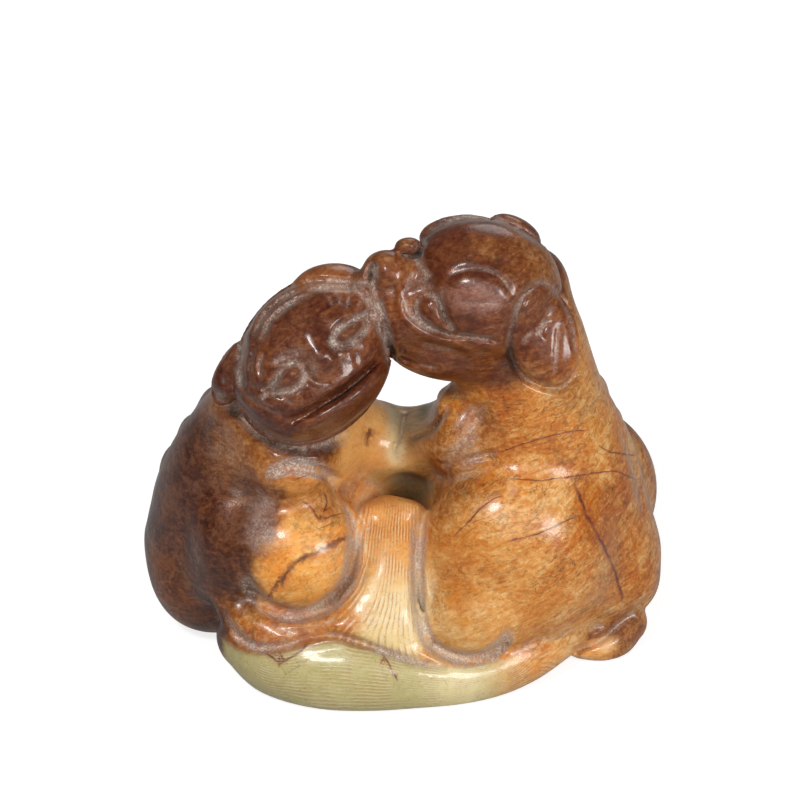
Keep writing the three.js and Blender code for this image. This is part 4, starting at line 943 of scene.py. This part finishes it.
    # signed distance to the nearest vein, over its half width, and how strong the vein is there
    side = np.full(count, NO_VEIN, np.float32)
    strength = np.zeros(count, np.float32)
    for points, nearer, half in VEINS:
        gap, where, hand = path_gap(u, v, curve(points, VEIN_STEPS))
        ends = smooth(np.minimum(where, 1 - where) / VEIN_END)
        near = (depth > nearer) & (facing > 0) & (gap / half < np.abs(side))
        side = np.where(near, gap * hand / half, side)
        strength = np.where(near, ends, strength)
    add_value(mesh, "vein_side", side)
    add_value(mesh, "vein_strength", strength)

    # hairs: the count of hair lines across each tail
    add_value(mesh, "hair", hairs)
    held = np.maximum(hanging * (1 - below), 0.55 * base * below)
    add_value(mesh, "hair_strength", held * smooth(facing / 0.3) * smooth((-v - 12) / 1.6))


def path_weight(points, path, radius, rim):
    """1 within a radius of a path in space and 0 beyond, over a rim."""
    best = np.full(len(points), 1e9)
    path = curve(path, 6)
    for a, b in zip(path[:-1], path[1:]):
        span = b - a
        t = np.clip((points - a) @ span / (span @ span), 0, 1)
        best = np.minimum(best, ((points - a - t[:, None] * span) ** 2).sum(1))
    return smooth((radius - np.sqrt(best)) / rim + 0.5)


# Edges of the two tails in the layout; the hairs lie between them
HANGING_LEFT = (
    (-3.4, -12.2), (-4, -16.5), (-4.5, -20.1), (-6.1, -23.4), (-9.1, -26), (-13.4, -27.6),
    (-17.7, -28.5),
)
HANGING_RIGHT = ((1.7, -11.9), (1.6, -17.1), (1.5, -21.9), (1.7, -26.2), (2.2, -29.3), (2.9, -31.1))
LYING_TOP = (
    (-22.2, -28.6), (-19.5, -30.3), (-16.8, -30.8), (-14, -30.6), (-11, -29.7), (-7.9, -29.3),
    (-5.5, -29.9), (-2.4, -30.5), (0, -31.3), (3, -32.2), (7.3, -32.7), (12.2, -31.7),
)
LYING_LOW = (
    (-21.3, -30.5), (-18.3, -35.4), (-13.4, -37.4), (-7.3, -38.2), (0, -38), (6.1, -37.3),
    (12.2, -35.8), (17.1, -34.1),
)


def hair_count(u, v):
    """Hair lines across each tail: the share of the way from one edge to the other, times the count.
    The second value is 1 below the top edge of the tail on the base and 0 above it."""
    edges = (HANGING_LEFT, HANGING_RIGHT, LYING_TOP, LYING_LOW)
    gaps = [path_gap(u, v, curve(edge, FOLD_STEPS))[0] for edge in edges]
    hanging = gaps[0] / (gaps[0] + gaps[1] + TINY)
    lying = gaps[2] / (gaps[2] + gaps[3] + TINY)
    gap, _, side = path_gap(u, v, curve(LYING_TOP, FOLD_STEPS))
    below = smooth(-gap * side / 0.5 + 0.5)
    return np.where(below > 0.5, lying * LYING_HAIRS, hanging * HANGING_HAIRS), below


def hollowness(block, points):
    """How far the skin dips below its surroundings: the distance less its mean over a small box."""
    reach = max(1, round(DIP_BOX / block.step))
    mean = block.field.copy()
    for axis in range(3):
        total = np.cumsum(mean, axis=axis, dtype=np.float64)
        high = np.minimum(np.arange(mean.shape[axis]) + reach, mean.shape[axis] - 1)
        low = np.maximum(np.arange(mean.shape[axis]) - reach - 1, 0)
        over_box = np.take(total, high, axis) - np.take(total, low, axis)
        mean = (over_box / (2 * reach + 1)).astype(np.float32)
    dip = block.sample(block.field, points) - block.sample(mean, points)
    return np.clip(dip / FULL_DIP, -1, 1)


class NodeMaker:
    """Adds nodes to a tree from left to right and joins them."""

    def __init__(self, tree):
        self.tree = tree
        self.column = 0

    def add(self, kind, inputs=(), **settings):
        node = self.tree.nodes.new(kind)
        self.column += 1
        node.location = (self.column * 180, -40 * (self.column % 5))
        for name, value in settings.items():
            setattr(node, name, value)
        for key, value in dict(inputs).items():
            if isinstance(value, bpy.types.NodeSocket):
                self.tree.links.new(value, node.inputs[key])
            else:
                node.inputs[key].default_value = value
        return node

    def maths(self, operation, *values):
        node = self.add("ShaderNodeMath", operation=operation)
        for i, value in enumerate(values):
            if isinstance(value, bpy.types.NodeSocket):
                self.tree.links.new(value, node.inputs[i])
            else:
                node.inputs[i].default_value = value
        return node.outputs[0]

    def times(self, first, second):
        return self.maths("MULTIPLY", first, second)

    def scaled(self, value, factor, more):
        """value * factor + more."""
        return self.maths("MULTIPLY_ADD", value, factor, more)

    def mix(self, share, first, second):
        """A colour mix; sockets 0, 6 and 7 are the share and the two colours."""
        inputs = {0: share, 6: first, 7: second}
        return self.add("ShaderNodeMix", inputs, data_type="RGBA").outputs[2]

    def ramp(self, value, low, high):
        """0 below low and 1 above high, with level ends."""
        inputs = {"Value": value, "From Min": low, "From Max": high}
        node = self.add("ShaderNodeMapRange", inputs, interpolation_type="SMOOTHSTEP")
        return node.outputs["Result"]

    def noise(self, place, size, detail=3.0, rough=0.55, twist=0.0):
        """Noise whose features are about the given size in metres, mixed from finer and finer parts."""
        inputs = {
            "Vector": place, "Scale": 1 / size, "Detail": detail, "Roughness": rough,
            "Distortion": twist,
        }
        return self.add("ShaderNodeTexNoise", inputs).outputs["Fac"]

    def value(self, name):
        return self.add("ShaderNodeAttribute", attribute_name=name).outputs["Fac"]


def new_group(name, inputs, outputs):
    """A shader node group with named sockets, and its maker."""
    tree = bpy.data.node_groups.new(name, "ShaderNodeTree")
    for label, kind, default in inputs:
        socket = tree.interface.new_socket(label, in_out="INPUT", socket_type=kind)
        socket.default_value = default
    for label, kind in outputs:
        tree.interface.new_socket(label, in_out="OUTPUT", socket_type=kind)
    maker = NodeMaker(tree)
    source = maker.add("NodeGroupInput")
    return tree, maker, source


# Sizes of the stone's features, in metres
CLOUD_SIZE = 0.0085
FLECK_SIZE = 0.0026
DOT_SIZE = 0.0006
PALE_SIZE = 0.0036
BLOTCH_SIZE = 0.003
STREAKED_SIZE = 0.006
LONG_STREAK_SIZE = 0.0062
SHORT_STREAK_SIZE = 0.0017
SHORT_CLUSTER_SIZE = 0.004
SPECK_SIZE = 0.00042
STREAK_TURN = (0.0, math.radians(-20), 0.3)  # streaks rise to the right
STREAK_THIN = 0.36  # how thin streaks are to their length
FLECK_SHARE = 1.1  # share of each noise in the clouds
CLOUD_SHARE = 0.9
DOT_SHARE = 0.7
MIDDLE_TOTAL = 1.35  # the clouds' mean


def mottle_group():
    """Clouds, blotches, streaks and specks in the stone. Clouds raise the colour to a power of 1 plus
    depth times the noises' distance from their mean; blotches are where a noise passes a limit; a
    streak is where a stretched noise is close to its middle, which draws thin wandering lines."""
    tree, make, source = new_group(
        "Stone mottle",
        (
            ("Colour", "NodeSocketColor", (0.5, 0.3, 0.2, 1)),
            ("Dark", "NodeSocketColor", (0.1, 0.04, 0.02, 1)),
            ("Light", "NodeSocketColor", (0.5, 0.2, 0.06, 1)),
            ("Stain", "NodeSocketFloat", 0.5),
            ("Streaks", "NodeSocketFloat", 0.6),
        ),
        (("Colour", "NodeSocketColor"),),
    )
    stain, streaks = source.outputs["Stain"], source.outputs["Streaks"]
    place = make.add("ShaderNodeTexCoord").outputs["Object"]
    turn = {"Vector": place, "Rotation": STREAK_TURN, "Scale": (1.0, 1.0, STREAK_THIN)}
    drawn = make.add("ShaderNodeMapping", turn, vector_type="TEXTURE").outputs["Vector"]
    # clouds of three sizes: the colour to a power, which is redder and darker above one
    cloud = make.noise(place, CLOUD_SIZE, 4, 0.6, 0.8)
    flecks = make.noise(drawn, FLECK_SIZE, 6, 0.72, 1.2)
    dots = make.noise(place, DOT_SIZE, 3, 0.7, 0.4)
    total = make.scaled(flecks, FLECK_SHARE, make.times(cloud, CLOUD_SHARE))
    total = make.scaled(dots, DOT_SHARE, total)
    depth = make.scaled(streaks, 1.6, 0.45)
    depth = make.scaled(stain, 0.75, depth)
    power = make.scaled(make.maths("SUBTRACT", MIDDLE_TOTAL, total), depth, 1.0)
    power = make.maths("MAXIMUM", power, make.scaled(stain, 0.3, 0.5))
    colour = make.add("ShaderNodeGamma", {"Color": source.outputs["Colour"], "Gamma": power}).outputs[0]
    # paler and darker blotches where the stone is stained
    pale = make.ramp(make.noise(place, PALE_SIZE, 8, 0.76, 1.0), 0.49, 0.66)
    colour = make.mix(make.times(pale, make.times(stain, 0.7)), colour, source.outputs["Light"])
    blotch = make.ramp(make.noise(place, BLOTCH_SIZE, 8, 0.76, 1.2), 0.5, 0.64)
    colour = make.mix(
        make.times(blotch, make.scaled(stain, 0.55, 0.12)), colour, source.outputs["Dark"]
    )
    # wandering streaks, long and short
    broad = make.ramp(make.noise(place, STREAKED_SIZE, 3, 0.6, 1.0), 0.34, 0.56)
    long_noise = make.maths(
        "ABSOLUTE", make.maths("SUBTRACT", make.noise(drawn, LONG_STREAK_SIZE, 5, 0.62, 1.1), 0.5),
    )
    long_line = make.times(make.ramp(long_noise, 0.018, 0.0), broad)
    short = make.ramp(make.noise(drawn, SHORT_STREAK_SIZE, 5, 0.7, 1.0), 0.52, 0.68)
    short = make.times(short, make.ramp(make.noise(place, SHORT_CLUSTER_SIZE, 3, 0.6, 0.6), 0.3, 0.6))
    drawn_lines = make.maths("MAXIMUM", make.times(long_line, 0.8), make.times(short, 0.7))
    colour = make.mix(make.times(drawn_lines, streaks), colour, source.outputs["Dark"])
    speck = make.ramp(make.noise(place, SPECK_SIZE, 3, 0.6), 0.56, 0.75)
    colour = make.mix(make.times(speck, 0.35), colour, source.outputs["Dark"])
    end = make.add("NodeGroupOutput")
    tree.links.new(colour, end.inputs["Colour"])
    return tree


# Sizes of the skin's marks, in metres
WOBBLE_SIZE = 0.0012
BLUSH_SIZE = 0.0011
BROKEN_VEIN_SIZE = 0.0016
HAIR_DRIFT_SIZE = 0.006
WORN_SIZE = 0.0024
DUST_SPECK_SIZE = 0.00028
DUST_DRIFT_SIZE = 0.0016
POLISH_SIZE = 0.003
RIPPLE_SIZE = 0.0024
DIMPLE_SIZE = 0.0007
PIT_SIZE = 0.00026
RELIEF_DEPTH = 0.0003
VEIN_WOBBLE = 4.0  # how many half widths a vein wanders
HAIR_WOBBLE = 2.2  # how many hairs a hair wanders


def jade_material(colours):
    """The stone with its marks, from the skin's values: tone, stain, streaks, veins, hairs and dust."""
    material = bpy.data.materials.new("polished jade")
    material.use_nodes = True
    tree = material.node_tree
    make = NodeMaker(tree)
    shader = tree.nodes["Principled BSDF"]
    place = make.add("ShaderNodeTexCoord").outputs["Object"]
    tone = make.add("ShaderNodeAttribute", attribute_name="tone").outputs["Color"]
    mottle = make.add("ShaderNodeGroup", node_tree=mottle_group())
    tree.links.new(tone, mottle.inputs["Colour"])
    tree.links.new(make.value("stain"), mottle.inputs["Stain"])
    tree.links.new(make.value("streaks"), mottle.inputs["Streaks"])
    mottle.inputs["Dark"].default_value = colours.fleck
    mottle.inputs["Light"].default_value = colours.tan
    colour = mottle.outputs["Colour"]
    # veins
    wandering = make.noise(place, WOBBLE_SIZE, 4, 0.65)
    wobble = make.times(make.maths("SUBTRACT", wandering, 0.5), VEIN_WOBBLE)
    gap = make.maths("ABSOLUTE", make.maths("ADD", make.value("vein_side"), wobble))
    blush = make.times(make.ramp(gap, 4.5, 0.5), make.value("vein_strength"))
    blush = make.times(blush, make.ramp(make.noise(place, BLUSH_SIZE, 4, 0.7), 0.38, 0.62))
    colour = make.mix(make.times(blush, 0.6), colour, colours.blush)
    vein = make.times(make.ramp(gap, 1.5, 0.2), make.value("vein_strength"))
    patchy = make.ramp(make.noise(place, BROKEN_VEIN_SIZE, 3, 0.6), 0.3, 0.6)
    vein = make.times(vein, make.scaled(patchy, 0.5, 0.5))
    colour = make.mix(make.times(vein, 0.8), colour, colours.vein)
    # hairs: fine lines with dust in them
    uneven = make.scaled(make.noise(place, HAIR_DRIFT_SIZE, 4, 0.5), HAIR_WOBBLE, make.value("hair"))
    hair = make.maths("SINE", make.times(uneven, 2 * math.pi))
    hair_line = make.times(make.ramp(hair, 0.3, 0.95), make.value("hair_strength"))
    worn = make.ramp(make.noise(place, WORN_SIZE, 4, 0.65), 0.38, 0.62)
    hair_line = make.times(hair_line, worn)
    groove = make.times(make.ramp(hair, -0.1, -1.0), make.value("hair_strength"))
    groove = make.times(groove, worn)
    colour = make.mix(make.times(groove, 0.55), colour, colours.blush)
    colour = make.mix(make.times(hair_line, 0.7), colour, colours.hair)
    # dust in the folds, and painted sheen on two haunch patches: a thin purple-brown film with pale
    # specks on it
    speck = make.ramp(make.noise(place, DUST_SPECK_SIZE, 3, 0.75), 0.44, 0.62)
    drift = make.ramp(make.noise(place, DUST_DRIFT_SIZE, 4, 0.7), 0.36, 0.6)
    folded = make.ramp(make.value("dust"), 0.05, 0.85)
    sunken = make.times(make.ramp(make.value("hollow"), 0.3, 1.0), 0.32)
    dust = make.times(make.maths("MAXIMUM", folded, sunken), make.scaled(drift, 0.7, 0.3))
    colour = make.mix(make.times(dust, 0.6), colour, colours.film)
    specks = make.times(dust, make.scaled(speck, 0.72, 0.2))
    colour = make.mix(specks, colour, colours.dust)
    tree.links.new(colour, shader.inputs["Base Color"])
    # polish
    rough = make.scaled(make.noise(place, POLISH_SIZE, 4), 0.35, 0.14)
    rough = make.scaled(dust, 0.25, rough)
    tree.links.new(rough, shader.inputs["Roughness"])
    shader.inputs["IOR"].default_value = 1.5
    shader.inputs["Specular IOR Level"].default_value = 0.35
    coat = make.scaled(dust, -0.3, 0.3)
    tree.links.new(make.maths("MAXIMUM", coat, 0.0), shader.inputs["Coat Weight"])
    shader.inputs["Coat Roughness"].default_value = 0.12
    shader.inputs["Subsurface Weight"].default_value = 0.03
    shader.inputs["Subsurface Radius"].default_value = (1.0, 0.45, 0.2)
    shader.inputs["Subsurface Scale"].default_value = 0.0012
    # fine relief: soft ripples of the polish, fine pits, hairs, and the specks of dust
    ripple = make.noise(place, RIPPLE_SIZE, 3, 0.5)
    dimples = make.noise(place, DIMPLE_SIZE, 3, 0.6)
    pits = make.noise(place, PIT_SIZE, 2, 0.6)
    height = make.scaled(ripple, 0.9, make.times(pits, 0.16))
    height = make.scaled(dimples, 0.3, height)
    height = make.maths("SUBTRACT", height, make.times(hair_line, 0.45))
    height = make.maths("SUBTRACT", height, make.times(vein, 0.3))
    height = make.scaled(specks, 0.25, height)
    bump = make.add("ShaderNodeBump", {"Strength": 0.4, "Distance": RELIEF_DEPTH, "Height": height})
    tree.links.new(bump.outputs["Normal"], shader.inputs["Normal"])
    return material


def measure_of(name, description, default, unit):
    return bpy.props.FloatProperty(name=name, description=description, default=default, unit=unit)


def length_of(name, description, default):
    return measure_of(name, description, default, "LENGTH")


def power_of(name, description, default):
    return measure_of(name, description, default, "POWER")


class LionForm(bpy.types.PropertyGroup):
    """Sizes of the carving."""

    grid_step: length_of("Grid step", "Spacing of the grid that the skin is found on", 0.00032)
    most_triangles: bpy.props.IntProperty(
        name="Most triangles", description="The skin is thinned to this many", default=190000
    )
    torso_round: length_of("Torso rounding", "Softness of the joins between big masses", 0.003)
    haunch_round: length_of("Haunch rounding", "Softness where the near haunch joins", 0.0026)
    paw_round: length_of("Paw rounding", "Softness round paws and tails", 0.001)
    ear_round: length_of("Ear rounding", "Softness round the ears", 0.0005)
    floor_round: length_of("Base rounding", "Softness round the flat underside", 0.0008)
    fold_width: length_of("Fold width", "Width of the folds round haunches and heads", 0.00075)
    fold_depth: length_of("Fold depth", "Depth of the folds round haunches and heads", 0.0012)
    mouth_width: length_of("Mouth width", "Half width of the mouth's cut", 0.00036)
    mouth_depth: length_of("Mouth depth", "Depth of the mouth's cut", 0.0015)
    eye_line: length_of("Eye line", "Half width of the line round an eye", 0.00042)
    eye_depth: length_of("Eye depth", "Depth of the line round an eye", 0.0008)


def colour_of(name, description, default):
    return bpy.props.FloatVectorProperty(
        name=name, description=description, default=(*default, 1), size=4, subtype="COLOR", min=0, max=1
    )


class LionColour(bpy.types.PropertyGroup):
    """Colours of the stone."""

    honey: colour_of("Honey", "Body of the right lion", (0.56, 0.205, 0.035))
    gold: colour_of("Gold", "Lower part of the right haunch", (0.64, 0.27, 0.06))
    amber: colour_of("Amber", "Bright haunch of the left lion", (0.85, 0.36, 0.07))
    orange: colour_of("Orange", "Top of the hanging tail", (0.74, 0.33, 0.085))
    apricot: colour_of("Apricot", "Arm of the left lion", (0.8, 0.4, 0.12))
    straw: colour_of("Straw", "Lower part of the hanging tail", (0.8, 0.52, 0.2))
    celadon: colour_of("Celadon", "Pale tail on the base", (0.5, 0.43, 0.19))
    moss: colour_of("Moss", "Greenish stone round the well", (0.36, 0.26, 0.12))
    bark: colour_of("Bark", "Brown shade over shoulders and haunch", (0.26, 0.085, 0.022))
    russet: colour_of("Russet", "Back of the left lion", (0.095, 0.026, 0.01))
    head: colour_of("Head brown", "The two heads", (0.15, 0.036, 0.0095))
    tan: colour_of("Tan", "Paler blotches in the dark stone", (0.27, 0.08, 0.018))
    # purple-brown colour of the stone, also laid as a painted sheen on the left haunch and a painted
    # highlight on the right lion's eyelid
    bloom_and_sheen: colour_of("Bloom", "Purple-brown shade on the left haunch", (0.36, 0.19, 0.15))
    cream: colour_of("Cream", "Palest stone", (0.85, 0.72, 0.4))
    fleck: colour_of("Fleck", "Dark streaks and flecks", (0.05, 0.013, 0.005))
    vein: colour_of("Vein", "Dark veins and fissures", (0.085, 0.018, 0.014))
    blush: colour_of("Blush", "Reddish stone beside a vein", (0.36, 0.085, 0.03))
    hair: colour_of("Hair line", "Fine lines of the tails", (0.75, 0.62, 0.4))
    film: colour_of("Film", "Dull film under the dust", (0.24, 0.145, 0.105))
    dust: colour_of("Dust", "Pale specks of dust in the folds", (0.7, 0.62, 0.54))


class LionStage(bpy.types.PropertyGroup):
    """Camera and light."""

    key_power: power_of("Key light", "Power of the light at the upper left", 1.6)
    side_power: power_of("Side light", "Power of the light at the right", 1.7)
    front_power: power_of("Front light", "Power of the light near the camera", 0.6)
    back_power: power_of("Back light", "Power of the light behind", 0.45)
    sky: bpy.props.FloatProperty(
        name="Sky", description="Strength of the light from all round", default=0.16,
    )
    floor_glow: bpy.props.FloatProperty(
        name="Floor glow", description="Light from the lit table", default=0.8,
    )
    floor_colour: colour_of("Floor", "Colour of the plain floor", (0.4, 0.4, 0.4))


class LIONS_OT_carve(bpy.types.Operator):
    """Carve the two lions and give them the colour and polish of jade"""

    bl_idname = "lions.carve"
    bl_label = "Carve the lions"

    def execute(self, context):
        form, colours = context.scene.lion_form, context.scene.lion_colour
        step = form.grid_step / MM
        block = Block(step)
        left_lion(block, form)
        right_lion(block, form)
        middle(block, form)
        tails(block, form)
        heads(block, form)
        openings(block)
        block.flatten(form.floor_round / MM)
        block.open_skin(SKIN_REACH)
        carve_bodies(block, form)
        carve_left_face(block, form)
        carve_right_face(block, form)
        block.close_skin()
        block.flatten(form.floor_round / MM / 2)
        points, faces = largest_shell(*skin_of(block))
        if len(points) < LEAST_POINTS:
            raise RuntimeError("the carving came out empty")
        shift = lion_shift(points)
        context.scene["lion_shift"] = [float(s) for s in shift]
        mesh = mesh_of("carved_lions", (points + shift) * MM, faces)
        lions = bpy.data.objects.new("carved_lions", mesh)
        context.scene.collection.objects.link(lions)
        thinned(lions, form.most_triangles)
        paint(lions, block, shift, colours)
        lions.data.materials.append(jade_material(colours))
        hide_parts(NODE)
        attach(lions, BODY)
        return {"FINISHED"}


# The lamps: where each stands and how wide it is, in metres; they aim at the middle of the carving
LAMPS = {
    "key": ((-0.2, -0.32, 0.46), 0.12),
    "side": ((0.36, -0.4, 0.24), 0.2),
    "front": ((0.06, -0.5, 0.36), 0.5),
    "back": ((0.1, 0.45, 0.35), 0.3),
}
LAMP_AIM = (0, 0, 0.025)
FLOOR_HALF = 2.0  # half width of the floor in metres
GLOW_ON_STONE = (0.1, 0.1, 0.1, 1)  # how much of the floor's glow the stone is lit by
GLOW_SEEN = (1, 1, 1, 1)  # how much of it the camera sees


def area_light(name, place, size, power):
    lamp = bpy.data.lights.new(name, "AREA")
    lamp.shape = "DISK"
    lamp.size = size
    lamp.energy = power
    thing = bpy.data.objects.new(name, lamp)
    thing.location = place
    thing.rotation_euler = (Vector(LAMP_AIM) - Vector(place)).to_track_quat("-Z", "Y").to_euler()
    bpy.context.scene.collection.objects.link(thing)


class LIONS_OT_stage(bpy.types.Operator):
    """Set the floor, the lights and the camera"""

    bl_idname = "lions.stage"
    bl_label = "Set the stage"

    def execute(self, context):
        scene = context.scene
        stage = scene.lion_stage
        if "lion_shift" not in scene:
            raise RuntimeError("carve the lions before setting the stage")
        corners = [(x * FLOOR_HALF, y * FLOOR_HALF, 0) for x, y in ((-1, -1), (1, -1), (1, 1), (-1, 1))]
        mesh = bpy.data.meshes.new("floor")
        mesh.from_pydata(corners, [], [(0, 1, 2, 3)])
        floor = bpy.data.objects.new("floor", mesh)
        scene.collection.objects.link(floor)
        paper = bpy.data.materials.new("white paper")
        paper.use_nodes = True
        shader = paper.node_tree.nodes["Principled BSDF"]
        shader.inputs["Base Color"].default_value = stage.floor_colour
        shader.inputs["Roughness"].default_value = 0.9
        shader.inputs["Specular IOR Level"].default_value = 0.1
        make = NodeMaker(paper.node_tree)
        straight = make.add("ShaderNodeLightPath").outputs["Is Camera Ray"]
        glow = make.mix(straight, GLOW_ON_STONE, GLOW_SEEN)
        paper.node_tree.links.new(glow, shader.inputs["Emission Color"])
        shader.inputs["Emission Strength"].default_value = stage.floor_glow
        mesh.materials.append(paper)
        world = bpy.data.worlds.new("studio")
        world.use_nodes = True
        sky = world.node_tree.nodes["Background"]
        sky.inputs["Color"].default_value = (1, 1, 1, 1)
        sky.inputs["Strength"].default_value = stage.sky
        scene.world = world
        for name, (place, size) in LAMPS.items():
            area_light(name, place, size, getattr(stage, name + "_power"))
        camera = bpy.data.cameras.new("camera")
        camera.sensor_width = SENSOR
        camera.lens = SENSOR * FRONT_REACH / VIEW_WIDTH
        camera.clip_start = 0.01
        thing = bpy.data.objects.new("camera", camera)
        shift = np.array(scene["lion_shift"])
        target = (LAYOUT_MIDDLE + shift) * MM
        thing.location = Vector(target + TOWARDS * FRONT_REACH * MM)
        thing.rotation_euler = Vector(-TOWARDS).to_track_quat("-Z", "Y").to_euler()
        scene.collection.objects.link(thing)
        scene.camera = thing
        scene.view_settings.view_transform = "Standard"
        return {"FINISHED"}


class LIONS_PT_panel(bpy.types.Panel):
    """The sizes, colours and steps of the jade lions"""

    bl_label = "Jade lions"
    bl_space_type = "VIEW_3D"
    bl_region_type = "UI"
    bl_category = "Jade lions"

    def draw(self, context):
        layout = self.layout
        for group in (context.scene.lion_form, context.scene.lion_colour, context.scene.lion_stage):
            box = layout.box()
            for name in group.__annotations__:
                box.prop(group, name)
        for operator in (LIONS_OT_carve, LIONS_OT_stage):
            layout.operator(operator.bl_idname)


CLASSES = (LionForm, LionColour, LionStage, LIONS_OT_carve, LIONS_OT_stage, LIONS_PT_panel)


def register():
    for item in CLASSES:
        bpy.utils.register_class(item)
    bpy.types.Scene.lion_form = bpy.props.PointerProperty(type=LionForm)
    bpy.types.Scene.lion_colour = bpy.props.PointerProperty(type=LionColour)
    bpy.types.Scene.lion_stage = bpy.props.PointerProperty(type=LionStage)


def unregister():
    del bpy.types.Scene.lion_form
    del bpy.types.Scene.lion_colour
    del bpy.types.Scene.lion_stage
    for item in reversed(CLASSES):
        bpy.utils.unregister_class(item)


def main():
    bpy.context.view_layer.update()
    register()
    bpy.ops.lions.carve()
    bpy.ops.lions.stage()


if __name__ == "__main__":
    main()
